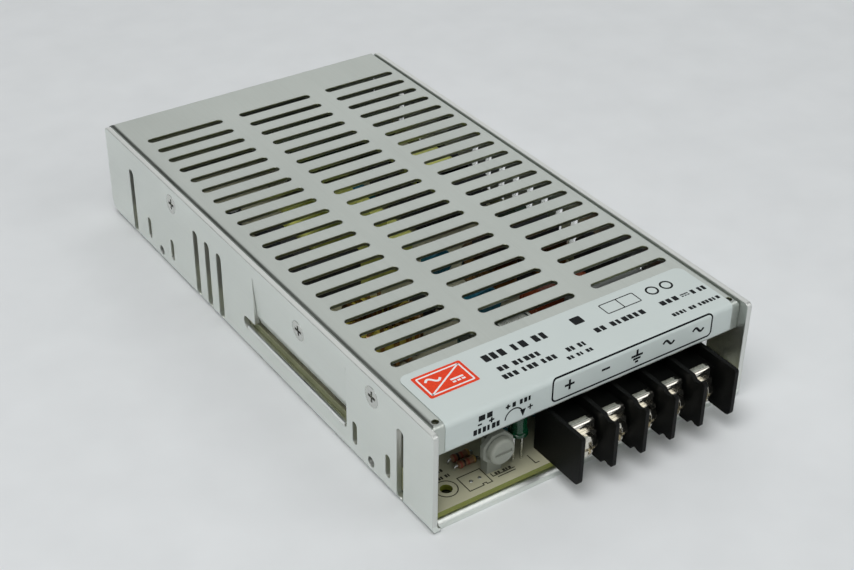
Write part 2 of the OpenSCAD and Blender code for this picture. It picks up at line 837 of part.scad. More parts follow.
// Side view of an inner barrier, [y, z]: a dip in its top edge and a wave in its lower edge near the front
module inner_barrier_2d() {
    nose = 5;
    dip_y = 3;
    dip = 1;
    tip_r = 0.8;
    wave_r = 2.2;
    difference() {
        translate([term_front, pcb_top]) square([term_depth, barrier_h]);
        translate([term_front, pcb_top - past]) square([nose - wave_r, past + dip]);
        translate([term_front + nose - wave_r, pcb_top - past + dip]) circle(wave_r - dip);
        translate([term_front + nose - wave_r, pcb_top]) circle(dip * 1.4);
        translate([term_front, pcb_top + dip]) corner_off_2d(tip_r);
        translate([term_front, barrier_top]) mirror([0, 1]) corner_off_2d(tip_r);
        translate([term_front + dip_y, barrier_top + dip]) circle(2 * dip);
    }
}

// Side view of an end barrier, [y, z], with its free corners rounded
module end_barrier_2d() {
    low_r = 1.6;
    high_r = 0.8;
    difference() {
        translate([term_front, pcb_top]) square([term_depth, barrier_h]);
        translate([term_front, pcb_top]) corner_off_2d(low_r);
        translate([term_front, barrier_top]) mirror([0, 1]) corner_off_2d(high_r);
    }
}

module terminal_block() {
    body_y = plate_y + plate_t;
    bore_d = shank_d + 2 * bore_play;
    groove_h = plate_low - pcb_top + plate_t + leg_play;
    color("#1d1e1f") difference() {
        union() {
            translate([term_x - block_half, body_y, pcb_top])
                cube([2 * block_half, term_back - body_y, body_h]);
            for (x = barrier_xs) translate([x, 0, 0]) along_x(barrier_t) inner_barrier_2d();
            for (s = [-1, 1])
                translate([term_x + s * block_half, 0, 0]) along_x(barrier_t) end_barrier_2d();
        }
        for (i = [0 : term_n - 1]) translate([bay_x(i), body_y - past, 0]) {
            translate([0, 0, screw_z]) rotate([-90, 0, 0]) cylinder(h = shank_l + past, d = bore_d);
            translate([-tail_w / 2 - leg_play, 0, pcb_top - past])
                cube([tail_w + 2 * leg_play, leg_y + leg_play - body_y + past, groove_h + past]);
        }
    }
}

// Side view of a terminal plate, [y, z]: its face, and the fold over the block's body
module plate_2d() {
    plate_top = body_top + plate_t;
    difference() {
        union() {
            translate([0, plate_low]) square([plate_t, plate_top - plate_low]);
            translate([0, body_top]) square([plate_fold, plate_t]);
        }
        translate([0, plate_top]) mirror([0, 1]) corner_off_2d(plate_bend_r);
    }
}

module terminal_plates() {
    leg_z = pcb_z - leg_below;
    color("#cfcfca") for (i = [0 : term_n - 1]) translate([bay_x(i), plate_y, 0]) {
        difference() {
            along_x(plate_w) plate_2d();
            translate([0, -past, screw_z]) rotate([-90, 0, 0])
                cylinder(h = plate_t + 2 * past, d = shank_d + 2 * shank_play);
        }
        translate([-tail_w / 2, 0, plate_low]) cube([tail_w, tail_l, plate_t]);
        translate([-tail_w / 2, tail_l - plate_t, leg_z])
            cube([tail_w, plate_t, plate_low + plate_t - leg_z]);
    }
}

module terminal_screw(i) {
    dome_h = head_h * 0.4;
    dome_r = (pow(head_d / 2, 2) + pow(dome_h, 2)) / (2 * dome_h);
    recess_span = head_d * 0.62;
    recess_z = head_h * 0.4;
    slot_w = 1;
    slot_z = head_h * 0.6;
    color("#c3c2bb") translate([bay_x(i), plate_y - washer_t, screw_z]) rotate([90, 0, 0]) difference() {
        union() {
            rotate_extrude() intersection() {
                square([head_d / 2, head_h]);
                translate([0, head_h - dome_r]) circle(dome_r);
            }
            translate([0, 0, -shank_l]) cylinder(h = shank_l, d = shank_d);
        }
        translate([0, 0, head_h]) mirror([0, 0, 1]) cross_recess(recess_span, head_h - recess_z);
        translate([-head_d, -slot_w / 2, slot_z]) cube([2 * head_d, slot_w, head_h]);
    }
}

module clamp_washer(i) {
    corner = 0.8;
    color("#cbcac4") translate([bay_x(i), plate_y, screw_z]) rotate([90, 0, 0]) difference() {
        linear_extrude(washer_t) round_rect_2d(washer_w, washer_w, corner);
        translate([0, 0, -past]) cylinder(h = washer_t + 2 * past, d = shank_d + 2 * shank_play);
    }
}

module trimmer_holder() {
    half_side = 22.5;
    foot_in = 0.2;
    color("#c9c9c4") difference() {
        union() {
            translate([trim_x, trim_y, trim_z]) rotate([-90, half_side, 0])
                cylinder(h = trim_plate_t, d = trim_flats / cos(half_side), $fn = 8);
            translate([trim_x - trim_body_w / 2, trim_y + trim_plate_t - foot_in, pcb_top])
                cube([trim_body_w, trim_body_l + foot_in, trim_h + trim_body_w / 2]);
        }
        translate([trim_x, trim_y - past, trim_z]) rotate([-90, 0, 0])
            cylinder(h = spindle_l + spindle_room + past, d = spindle_d + 2 * spindle_play);
    }
}

module trimmer_cap() {
    slot_l = cap_d * 0.7;
    color("#d7d7d2") translate([trim_x, trim_y - cap_gap, trim_z]) rotate([90, 0, 0]) difference() {
        rotate_extrude() {
            square([cap_d / 2, cap_l - cap_r]);
            square([cap_d / 2 - cap_r, cap_l]);
            translate([cap_d / 2 - cap_r, cap_l - cap_r]) circle(cap_r);
            translate([0, -spindle_l]) square([spindle_d / 2, spindle_l]);
        }
        translate([-slot_l / 2, -driver_w / 2, cap_l - driver_depth])
            cube([slot_l, driver_w, driver_depth + past]);
    }
}

module indicator_lamp() {
    rim_h = 1;
    rim_d = led_d + 0.8;
    lead_w = 0.5;
    lead_pitch = 2.54;
    dome_z = led_l - led_d / 2;
    color("#1f7a52") translate([-led_left, from_front(led_back), pcb_top]) {
        translate([0, 0, led_stand]) rotate_extrude() {
            square([rim_d / 2, rim_h]);
            square([led_d / 2, dome_z]);
            translate([0, dome_z]) intersection() {
                circle(d = led_d);
                square(led_d);
            }
        }
        for (s = [-1, 1]) translate([(s * lead_pitch - lead_w) / 2, -lead_w / 2, 0])
            cube([lead_w, lead_w, led_stand + rim_h / 2]);
    }
}

module axial_resistors() {
    body_d = 1.8;
    body_l = 5.4;
    end_d = 2.1;
    end_l = 1.2;
    lead_d = 0.6;
    lead_x = body_l / 2 + 0.9;
    color("#8a5a3c") for (p = resistor_pts) translate([p[0], p[1], pcb_top + end_d / 2]) {
        rotate([0, 90, 0]) {
            cylinder(h = body_l, d = body_d, center = true);
            cylinder(h = 2 * lead_x, d = lead_d, center = true);
            for (s = [-1, 1])
                translate([0, 0, s * (body_l - end_l) / 2]) cylinder(h = end_l, d = end_d, center = true);
        }
        for (s = [-1, 1]) translate([s * lead_x, 0, 0]) {
            sphere(d = lead_d);
            translate([0, 0, -end_d / 2]) cylinder(h = end_d / 2, d = lead_d);
        }
    }
}

// Two E-shaped ferrite halves with their middle legs along Y
module e_core(at, w, l, h) {
    core_h = h * core_share;
    window_l = l * (1 - 2 * yoke_share);
    translate([at[0], at[1], pcb_top + h / 2]) {
        difference() {
            cube([w, l, core_h], center = true);
            cube([w * (1 - 2 * side_leg_share), window_l, core_h + 2 * past], center = true);
        }
        cube([w * middle_leg_share, window_l, core_h], center = true);
    }
}

// Plastic former on the middle leg: a sleeve, two cheeks and two pin rails that stand on the board
module e_former(at, w, l, h) {
    core_h = h * core_share;
    leg_w = w * middle_leg_share + 2 * former_play;
    leg_h = core_h + 2 * former_play;
    window_l = l * (1 - 2 * yoke_share) - 2 * former_play;
    cheek_w = w * (1 - 2 * side_leg_share) - 2 * former_play;
    rail_l = l * yoke_share + cheek_t;
    rail_h = (h - core_h) / 2 - former_play;
    translate([at[0], at[1], pcb_top]) {
        translate([0, 0, h / 2]) difference() {
            union() {
                cube([leg_w + 2 * former_wall, window_l, leg_h + 2 * former_wall], center = true);
                for (s = [-1, 1]) translate([0, s * (window_l - cheek_t) / 2, 0])
                    cube([cheek_w, cheek_t, h], center = true);
            }
            cube([leg_w, l, leg_h], center = true);
        }
        for (s = [-1, 1]) translate([-cheek_w / 2, (s * (l - rail_l) - rail_l) / 2, 0])
            cube([cheek_w, rail_l, rail_h]);
    }
}

// Taped winding between the cheeks of a former
module e_winding(at, w, l, h) {
    inner_w = w * middle_leg_share + 2 * former_wall + 4 * former_play;
    inner_h = h * core_share + 2 * former_wall + 4 * former_play;
    length = l * (1 - 2 * yoke_share) - 2 * cheek_t - 4 * former_play;
    translate([at[0], at[1], pcb_top + h / 2]) along_y(length) difference() {
        round_rect_2d(w * winding_share, h - 2 * tape_margin, h / 5);
        square([inner_w, inner_h], center = true);
    }
}

module transformer_core() {
    color("#3b3c40") e_core(trafo_at, trafo_w, trafo_l, trafo_h);
}

module transformer_bobbin() {
    color("#2a2b2d") e_former(trafo_at, trafo_w, trafo_l, trafo_h);
}

module transformer_winding() {
    color("#c9cf6a") e_winding(trafo_at, trafo_w, trafo_l, trafo_h);
}

module boost_choke_core() {
    color("#3b3c40") e_core(boost_at, boost_w, boost_l, boost_h);
}

module boost_choke_bobbin() {
    color("#2a2b2d") e_former(boost_at, boost_w, boost_l, boost_h);
}

module boost_choke_winding() {
    color("#c9cf6a") e_winding(boost_at, boost_w, boost_l, boost_h);
}

module output_choke_core() {
    color("#c8c24e") translate([ring_at[0], ring_at[1], pcb_top + wire_d + former_play]) rotate_extrude()
        translate([ring_r - ring_w / 2, 0]) square([ring_w, ring_h]);
}

module output_choke_turns() {
    corner = 1.5;
    inner_w = ring_w + 2 * former_play;
    inner_h = ring_h + 2 * former_play;
    color("#a8623a") translate([ring_at[0], ring_at[1], pcb_top + wire_d + inner_h / 2])
        for (i = [0 : turns - 1]) rotate(i * 360 / turns) translate([ring_r, 0, 0])
            along_y(wire_d) difference() {
                round_rect_2d(inner_w + 2 * wire_d, inner_h + 2 * wire_d, corner);
                square([inner_w, inner_h], center = true);
            }
}

module line_choke_core() {
    color("#3b3c40") translate([line_choke_at[0], line_choke_at[1], pcb_top + line_h / 2]) difference() {
        cube([line_w, line_t, line_h], center = true);
        cube([line_w - 2 * line_leg, line_t + 2 * past, line_h - 2 * line_yoke], center = true);
    }
}

module line_choke_windings() {
    corner = 2.5;
    inner_w = line_leg + 2 * coil_play;
    inner_t = line_t + 2 * coil_play;
    coil_h = line_h - 2 * line_yoke - 2 * coil_play;
    leg_x = (line_w - line_leg) / 2;
    color("#b06a3c") translate([line_choke_at[0], line_choke_at[1], pcb_top + line_yoke + coil_play])
        for (s = [-1, 1]) translate([s * leg_x, 0, 0]) linear_extrude(coil_h) difference() {
            round_rect_2d(inner_w + 2 * line_coil, inner_t + 2 * line_coil, corner);
            square([inner_w, inner_t], center = true);
        }
}

// Electrolytic can standing on the origin: a groove near its foot and a sunk lid
module can_capacitor(d, h) {
    groove_z = 1.85;
    groove = 0.35;
    lid_r = d * 0.42;
    lid_depth = 0.3;
    rotate_extrude() difference() {
        square([d / 2, h]);
        translate([d / 2 - groove, groove_z]) square([groove + past, 2 * groove]);
        translate([0, h - lid_depth]) square([lid_r, lid_depth + past]);
    }
}

module bulk_capacitor() {
    color("#202225") translate([bulk_at[0] - bulk_l / 2, bulk_at[1], pcb_top + former_play + bulk_d / 2])
        rotate([0, 90, 0]) can_capacitor(bulk_d, bulk_l);
}

module output_capacitors() {
    half = can_pitch / 2;
    color("#1f4f52") translate([cans_at[0], cans_at[1], pcb_top])
        for (sx = [-1, 1], sy = [-1, 1]) translate([sx * half, sy * half, 0]) can_capacitor(can_d, can_h);
}

module small_capacitors() {
    color("#26282c") for (p = small_can_pts)
        translate([p[0], p[1], pcb_top]) can_capacitor(small_d, small_h);
}

module filter_capacitor() {
    corner = 1;
    color("#8f9190") translate([filter_at[0], filter_at[1], pcb_top]) linear_extrude(filter_size[2])
        round_rect_2d(filter_size[0], filter_size[1], corner);
}

module film_capacitor() {
    corner = 3;
    color("#9c4b2f") translate([film_cap_at[0], film_cap_at[1], pcb_top + film_cap_size[2] / 2])
        along_y(film_cap_size[1]) round_rect_2d(film_cap_size[0], film_cap_size[2], corner);
}

// Disc-shaped part on edge, its face along Y, standing on two leads
module disc_part(d) {
    t = 4;
    stand = 2;
    lead_d = 0.7;
    translate([0, 0, stand + d / 2]) rotate([90, 0, 0]) cylinder(h = t, d = d, center = true);
    for (s = [-1, 1]) translate([s * d / 4, 0, 0]) cylinder(h = stand + d / 4, d = lead_d);
}

module disc_capacitors() {
    color("#2f62a8") for (p = disc_pts) translate([p[0], p[1], pcb_top]) disc_part(disc_d);
}

module varistor() {
    color("#b0552f") translate([varistor_at[0], varistor_at[1], pcb_top]) disc_part(big_disc_d);
}

module thermistor() {
    color("#2d3b30") translate([thermistor_at[0], thermistor_at[1], pcb_top])
        rotate(90) disc_part(big_disc_d);
}

// The fuse and its clips
fuse_l = 20;
fuse_d = 5;
fuse_cap_d = 5.5;
fuse_cap_l = 4.5;
fuse_rise = 5;
fuse_cap_x = (fuse_l - fuse_cap_l) / 2;

module fuse() {
    color("#e3e0d2") translate([fuse_at[0], fuse_at[1], pcb_top + fuse_rise]) rotate([0, 90, 0]) {
        cylinder(h = fuse_l, d = fuse_d, center = true);
        for (s = [-1, 1])
            translate([0, 0, s * fuse_cap_x]) cylinder(h = fuse_cap_l, d = fuse_cap_d, center = true);
    }
}

module fuse_clips() {
    spring_t = 0.5;
    clip_play = 0.05;
    clip_w = 3.6;
    inner_r = fuse_cap_d / 2 + clip_play;
    outer_r = inner_r + spring_t;
    color("#c9b26a") for (s = [-1, 1])
        translate([fuse_at[0] + s * fuse_cap_x, fuse_at[1], pcb_top]) along_x(clip_w) difference() {
            union() {
                translate([0, fuse_rise]) circle(outer_r);
                translate([-outer_r, 0]) square([2 * outer_r, fuse_rise]);
            }
            translate([0, fuse_rise]) circle(inner_r);
            translate([-inner_r, spring_t]) square([2 * inner_r, fuse_rise - spring_t]);
            translate([-outer_r / 2, fuse_rise]) square([outer_r, outer_r + past]);
        }
}

module bridge_rectifier() {
    body_w = 20;
    body_t = 3.6;
    body_z = 3;
    body_h = 14;
    notch = 3;
    lead_pitch = 5;
    lead_w = 1;
    lead_t = 0.6;
    color("#1f2023") translate([bridge_at[0], bridge_at[1], pcb_top]) {
        translate([0, 0, body_z]) along_x(body_t)
            polygon([[-body_w / 2, 0], [body_w / 2, 0], [body_w / 2, body_h - notch],
                     [body_w / 2 - notch, body_h], [-body_w / 2, body_h]]);
        for (i = [-1.5 : 1 : 1.5]) translate([-lead_t / 2, i * lead_pitch - lead_w / 2, 0])
            cube([lead_t, lead_w, body_z + lead_w]);
    }
}

// Dual in-line package with its leads bent down to the board
module dual_in_line(pins_a_side) {
    pitch = 2.54;
    body_w = 6.4;
    body_l = pins_a_side * pitch - 0.4;
    body_t = 3.3;
    rise = 0.6;
    lead_w = 0.6;
    lead_out = 1.1;
    translate([-body_l / 2, -body_w / 2, rise]) cube([body_l, body_w, body_t]);
    for (i = [0 : pins_a_side - 1]) {
        x = (i - (pins_a_side - 1) / 2) * pitch;
        translate([x - lead_w / 2, -body_w / 2 - lead_out, 0]) difference() {
            cube([lead_w, body_w + 2 * lead_out, rise + body_t / 2]);
            translate([-past, lead_out / 2, -past])
                cube([lead_w + 2 * past, body_w + lead_out, rise + past]);
        }
    }
}

module control_chips() {
    color("#232427") {
        translate([small_chip_at[0], small_chip_at[1], pcb_top]) dual_in_line(4);
        translate([large_chip_at[0], large_chip_at[1], pcb_top]) dual_in_line(8);
    }
}

module optocouplers() {
    color("#232427") for (p = opto_pts) translate([p[0], p[1], pcb_top]) dual_in_line(2);
}

chassis();
cover();
label_film();
cover_screws();
clamp_screw();
clamp_bar();
power_transistors();
thermal_pad();
insulating_sheet();
standoffs();
circuit_board();
board_screws();
terminal_block();
terminal_plates();
for (i = [0 : term_n - 1]) {
    terminal_screw(i);
    clamp_washer(i);
}
trimmer_holder();
trimmer_cap();
indicator_lamp();
axial_resistors();
transformer_core();
transformer_bobbin();
transformer_winding();
boost_choke_core();
boost_choke_bobbin();
boost_choke_winding();
output_choke_core();
output_choke_turns();
line_choke_core();
line_choke_windings();
bulk_capacitor();
output_capacitors();
small_capacitors();
filter_capacitor();
film_capacitor();
disc_capacitors();
varistor();
thermistor();
fuse();
fuse_clips();
bridge_rectifier();
control_chips();
optocouplers();
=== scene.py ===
"""Looks of a low-profile enclosed power supply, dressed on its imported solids.

Sizes in the classes are millimetres in the part's own frame: origin at the centre of the underside,
+Z up, terminals at the front (-Y). Meshes are written in metres.
"""

import json
import logging
import math
from dataclasses import dataclass
from enum import Enum

import bmesh
import bpy
import numpy as np
from mathutils import Matrix, Vector

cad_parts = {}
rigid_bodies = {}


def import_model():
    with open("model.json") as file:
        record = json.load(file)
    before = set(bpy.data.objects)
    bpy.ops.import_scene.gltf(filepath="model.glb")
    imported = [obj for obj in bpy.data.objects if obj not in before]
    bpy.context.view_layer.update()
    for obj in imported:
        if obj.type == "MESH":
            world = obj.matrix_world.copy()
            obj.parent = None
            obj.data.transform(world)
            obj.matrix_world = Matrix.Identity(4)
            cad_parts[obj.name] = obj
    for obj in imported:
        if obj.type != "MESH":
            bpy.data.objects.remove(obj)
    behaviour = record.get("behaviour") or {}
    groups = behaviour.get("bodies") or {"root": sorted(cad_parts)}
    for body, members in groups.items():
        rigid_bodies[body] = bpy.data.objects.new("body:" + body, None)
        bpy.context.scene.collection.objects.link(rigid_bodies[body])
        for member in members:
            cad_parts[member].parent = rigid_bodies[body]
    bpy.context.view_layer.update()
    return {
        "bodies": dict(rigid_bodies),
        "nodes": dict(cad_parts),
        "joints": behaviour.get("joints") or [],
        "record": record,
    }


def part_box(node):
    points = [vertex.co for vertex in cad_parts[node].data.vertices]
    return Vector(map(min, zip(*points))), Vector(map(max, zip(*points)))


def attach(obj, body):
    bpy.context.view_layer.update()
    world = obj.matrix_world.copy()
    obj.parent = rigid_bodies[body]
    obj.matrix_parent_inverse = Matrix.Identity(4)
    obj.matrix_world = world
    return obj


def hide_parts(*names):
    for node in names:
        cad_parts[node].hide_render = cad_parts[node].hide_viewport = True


Pair = tuple[float, float]
Box = tuple[Pair, Pair]
Triple = tuple[float, float, float]
Tree = bpy.types.NodeTree
Node = bpy.types.Node
Socket = bpy.types.NodeSocket
Constants = tuple[tuple[str, float], ...]

MM = 0.001
FILM_BEND_R = 1.75
# Metres under which two mesh points are one, and under which an edge or face is empty.
MERGE_DIST, EMPTY_DIST = 1e-7, 1e-8
# Least square of two added side vectors, so that a sharp corner of a path doesn't run far out.
LEAST_SIDE = 0.2
CORNER_STEPS = 7
# A drawn ring stops short of its first point, in degrees, and its closing step joins the two.
RING_END, RING_STEPS = 350, 36
# Where the noise texture's values mostly lie.
NOISE_LOW, NOISE_HIGH = 0.3, 0.7
# Radians that the wave texture runs through in one unit.
WAVE_RADIANS = 20.0
# The alternating current mark's height, as a share of its length, and the points along it.
WAVE_RISE, WAVE_STEPS = 0.2, 25
BEVEL_SAMPLES = 4
X_AXIS, Y_AXIS, Z_AXIS = (1, 0, 0), (0, 1, 0), (0, 0, 1)
log = logging.getLogger("power_supply")


class Body(Enum):
    """The CAD body that the new pieces ride on."""

    CASE = "case"


class Axis(Enum):
    """The axes that a face or a pattern can follow."""

    X = "X"
    Y = "Y"
    Z = "Z"


def channels(code: str) -> list[int]:
    """Reads red, green and blue from a hash sign and six hex digits, each 0 to 255."""
    return [int(code[i : i + 2], 16) for i in (1, 3, 5)]


def linear(code: str) -> tuple[float, float, float, float]:
    """Turns an sRGB hex colour into linear light: c / 12.92, or ((c + 0.055) / 1.055)^2.4 over 0.04045.

    Args:
        code: A hash sign and six hex digits.

    Returns:
        Red, green, blue and an alpha of one.
    """
    srgb = np.array(channels(code)) / 255
    light = np.where(srgb <= 0.04045, srgb / 12.92, ((srgb + 0.055) / 1.055) ** 2.4)
    return (*light.tolist(), 1.0)


def per_mm(size: float) -> float:
    """Gives the texture scale at which one pattern cell measures size millimetres."""
    return 1 / (size * MM)


def add(tree: Tree, kind: str, inputs: dict | None = None, **settings: object) -> Node:
    """Adds one node, sets its properties, and fills or links its inputs.

    Args:
        tree: The node tree that gets the node.
        kind: The node's type name.
        inputs: A value or an output socket for each input, by name or place.
        settings: The node's own properties.

    Returns:
        The new node.
    """
    node = tree.nodes.new(kind)
    for name, value in settings.items():
        setattr(node, name, value)
    for name, value in (inputs or {}).items():
        if isinstance(value, Socket):
            tree.links.new(value, node.inputs[name])
        else:
            node.inputs[name].default_value = value
    return node


# Surfaces


@dataclass
class Shape:
    """A surface as whole arrays: points in millimetres, and quads as rows of four point numbers."""

    points: np.ndarray
    quads: np.ndarray

    def moved(self, place: Triple) -> "Shape":
        """Gives the shape shifted by a vector."""
        return Shape(self.points + np.asarray(place), self.quads)


def join(shapes: list[Shape]) -> Shape:
    """Stacks shapes into one, with the point numbers of each raised by the points before it.

    Args:
        shapes: The shapes to stack.

    Returns:
        One shape that holds them all.
    """
    starts = np.cumsum([0] + [len(s.points) for s in shapes[:-1]])
    quads = np.concatenate([s.quads + n for s, n in zip(shapes, starts)])
    return Shape(np.concatenate([s.points for s in shapes]), quads)


def grid(points: np.ndarray, wrap_rows: bool = False, wrap_columns: bool = True) -> Shape:
    """Joins a grid of points: quad (i, j) spans rows i, i + 1 and columns j, j + 1.

    Args:
        points: Rows by columns by three.
        wrap_rows: Whether the last row meets the first.
        wrap_columns: Whether the last column meets the first.

    Returns:
        The grid as a shape.
    """
    rows, columns = points.shape[:2]
    row_numbers = np.arange(rows - (not wrap_rows))
    column_numbers = np.arange(columns - (not wrap_columns))
    i, j = np.meshgrid(row_numbers, column_numbers, indexing="ij")
    down, right = (i + 1) % rows, (j + 1) % columns
    corners = [(i, j), (down, j), (down, right), (i, right)]
    quads = np.stack([row * columns + column for row, column in corners], axis=-1)
    return Shape(points.reshape(-1, 3), quads.reshape(-1, 4))


def lathe(radius: np.ndarray, along: np.ndarray, steps: int) -> Shape:
    """Turns a profile about Z: P(u, v) = (r(u) cos v, r(u) sin v, z(u)).

    Args:
        radius: The profile's radii.
        along: The profile's heights.
        steps: Facets in one turn.

    Returns:
        The turned surface.
    """
    angle = np.linspace(0, 2 * np.pi, steps, endpoint=False)
    ring = np.stack([np.cos(angle), np.sin(angle), np.zeros(steps)], axis=-1)
    return grid(radius[:, None, None] * ring + along[:, None, None] * np.array(Z_AXIS, float))


def sweep(path: np.ndarray, section: np.ndarray, normal: Triple, closed: bool = False) -> Shape:
    """Carries a section along a path: P(s, t) = path(s) + a(t) side(s) + b(t) normal.

    The side vector is the normal crossed with the path's direction, stretched by one over the cosine
    of half the turn, so that a corner keeps its width. An open path is closed by a fan at each end.

    Args:
        path: Points along the path.
        section: Pairs of offsets along the side vector and the normal.
        normal: The direction that stays square to the path.
        closed: Whether the path's end meets its start.

    Returns:
        The swept surface.
    """
    up = np.asarray(normal, float)
    ahead = np.roll(path, -1, axis=0) - path
    behind = np.roll(ahead, 1, axis=0)
    if not closed:
        ahead[-1] = behind[-1]
        behind[0] = ahead[0]
    sides = [np.cross(up, d / np.linalg.norm(d, axis=1, keepdims=True)) for d in (ahead, behind)]
    middle = sides[0] + sides[1]
    middle *= 2 / np.maximum((middle * middle).sum(axis=1, keepdims=True), LEAST_SIDE)
    rings = path[:, None] + section[None, :, :1] * middle[:, None] + section[None, :, 1:] * up
    if not closed:
        core = path[:, None] + section.mean(axis=0)[1] * up
        ends = np.repeat(core, len(section), axis=1)
        rings = np.concatenate([ends[:1], rings, ends[-1:]])
    return grid(rings, wrap_rows=closed)


def tube(path: np.ndarray, diameter: float, normal: Triple, sides: int = 12) -> Shape:
    """Carries a circle along a path that lies square to the normal, as sweep says."""
    angle = np.linspace(0, 2 * np.pi, sides, endpoint=False)
    return sweep(path, diameter / 2 * np.stack([np.cos(angle), np.sin(angle)], axis=-1), normal)


def arc(centre: Pair, radius: float, start: float, end: float, steps: int) -> np.ndarray:
    """Gives flat points on a circle: c + r (cos a, sin a) for a from start to end, in degrees."""
    angle = np.radians(np.linspace(start, end, steps))
    return np.asarray(centre) + radius * np.stack([np.cos(angle), np.sin(angle)], axis=-1)


def round_box(low: Pair, high: Pair, radius: float) -> np.ndarray:
    """Gives the flat outline of a rectangle whose corners are quarter circles.

    Args:
        low: The lower left corner.
        high: The upper right corner.
        radius: The corner radius.

    Returns:
        Outline points, anticlockwise.
    """
    (x0, y0), (x1, y1) = low, high
    corners = [(x1 - radius, y0 + radius, -90), (x1 - radius, y1 - radius, 0)]
    corners += [(x0 + radius, y1 - radius, 90), (x0 + radius, y0 + radius, 180)]
    return np.concatenate([arc((x, y), radius, a, a + 90, CORNER_STEPS) for x, y, a in corners])


@dataclass(frozen=True)
class Face:
    """A flat face that carries print: a point, two directions, and the ink's depth and height."""

    origin: Triple
    across: Triple
    up: Triple
    depth: float = 0.01
    height: float = 0.03

    def place(self, flat: np.ndarray) -> np.ndarray:
        """Puts points on the face: P = origin + a across + b up + c out, where out is across x up."""
        axes = np.array([self.across, self.up, np.cross(self.across, self.up)], float)
        return np.asarray(self.origin) + flat @ axes

    def line(self, points: np.ndarray, width: float, closed: bool = False) -> Shape:
        """Draws a printed line: a flat bar of ink carried along the points.

        Args:
            points: Flat points on the face.
            width: The line's width.
            closed: Whether its end meets its start.

        Returns:
            The line's surface.
        """
        half, low, high = width / 2, -self.depth, self.height
        bar = np.array([[-half, low], [half, low], [half, high], [-half, high]])
        path = np.column_stack([np.asarray(points, float), np.zeros(len(points))])
        drawn = sweep(path, bar, Z_AXIS, closed)
        return Shape(self.place(drawn.points), drawn.quads)

    def pad(self, outline: np.ndarray) -> Shape:
        """Fills an outline with ink: rows run from the middle out to the edge, down, and back under it.

        Args:
            outline: Flat points round the field.

        Returns:
            The field's surface.
        """
        middle = np.repeat(outline.mean(axis=0)[None], len(outline), axis=0)
        rows = [(middle, self.height), (outline, self.height)]
        rows += [(outline, -self.depth), (middle, -self.depth)]
        layers = [np.column_stack([flat, np.full(len(flat), lift)]) for flat, lift in rows]
        drawn = grid(np.stack(layers))
        return Shape(self.place(drawn.points), drawn.quads)


@dataclass(frozen=True)
class BentFace(Face):
    """A face that stands up to a level and then bends back over the edge above it."""

    bend_from: float = 0.0
    bend_r: float = 1.0

    def place(self, flat: np.ndarray) -> np.ndarray:
        """Puts points on the face, with the height b past the bend's start turned into an angle.

        t = (b - start) / r, and P = origin + a across + (start + (r + c) sin t) up + ((r + c) cos t - r) out.

        Args:
            flat: Offsets across, up and out of the face.

        Returns:
            The points in the part's frame.
        """
        turn = np.clip(flat[:, 1] - self.bend_from, 0, None) / self.bend_r
        reach = self.bend_r + flat[:, 2]
        up = np.where(turn > 0, self.bend_from + reach * np.sin(turn), flat[:, 1])
        out = np.where(turn > 0, reach * np.cos(turn) - self.bend_r, flat[:, 2])
        return super().place(np.column_stack([flat[:, 0], up, out]))


def piece(
    name: str, shape: Shape, finish: "Finish", body: Body, sharp: float = 40.0
) -> bpy.types.Object:
    """Writes a shape into a mesh object that rides on a body.

    Doubles are merged, which closes poles and end fans, and then normals are turned outwards.

    Args:
        name: The object's name.
        shape: The surface, in millimetres.
        finish: Its material.
        body: The body it moves with.
        sharp: Edges that turn by more degrees than this stay crisp.

    Returns:
        The new object.
    """
    mesh = bpy.data.meshes.new(name)
    mesh.vertices.add(len(shape.points))
    mesh.vertices.foreach_set("co", (shape.points * MM).astype(np.float32).ravel())
    mesh.loops.add(shape.quads.size)
    mesh.loops.foreach_set("vertex_index", shape.quads.astype(np.int32).ravel())
    mesh.polygons.add(len(shape.quads))
    mesh.polygons.foreach_set("loop_start", np.arange(0, shape.quads.size, 4, dtype=np.int32))
    mesh.update(calc_edges=True)
    work = bmesh.new()
    work.from_mesh(mesh)
    bmesh.ops.remove_doubles(work, verts=work.verts, dist=MERGE_DIST)
    bmesh.ops.dissolve_degenerate(work, edges=work.edges, dist=EMPTY_DIST)
    bmesh.ops.recalc_face_normals(work, faces=work.faces)
    work.to_mesh(mesh)
    work.free()
    mesh.polygons.foreach_set("use_smooth", np.ones(len(mesh.polygons), dtype=bool))
    mesh.set_sharp_from_angle(angle=math.radians(sharp))
    mesh.materials.append(finish.build())
    made = bpy.data.objects.new(name, mesh)
    bpy.context.scene.collection.objects.link(made)
    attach(made, body.value)
    log.info("%s: %d faces on %s", name, len(mesh.polygons), body.value)
    return made


# Finishes


@dataclass(frozen=True)
class Noise:
    """A noise pattern: one cell's size along X, Y and Z in millimetres, and octaves of finer noise."""

    cell: Triple
    detail: float

    def build(self, tree: Tree) -> Socket:
        """Adds the noise on Object coordinates.

        Args:
            tree: The material's nodes.

        Returns:
            The noise value, mostly from NOISE_LOW to NOISE_HIGH.
        """
        place = add(tree, "ShaderNodeTexCoord")
        scale = tuple(per_mm(size) for size in self.cell)
        scaled = add(tree, "ShaderNodeMapping", {"Vector": place.outputs["Object"], "Scale": scale})
        inputs = {"Vector": scaled.outputs[0], "Scale": 1.0, "Detail": self.detail}
        return add(tree, "ShaderNodeTexNoise", inputs).outputs[0]


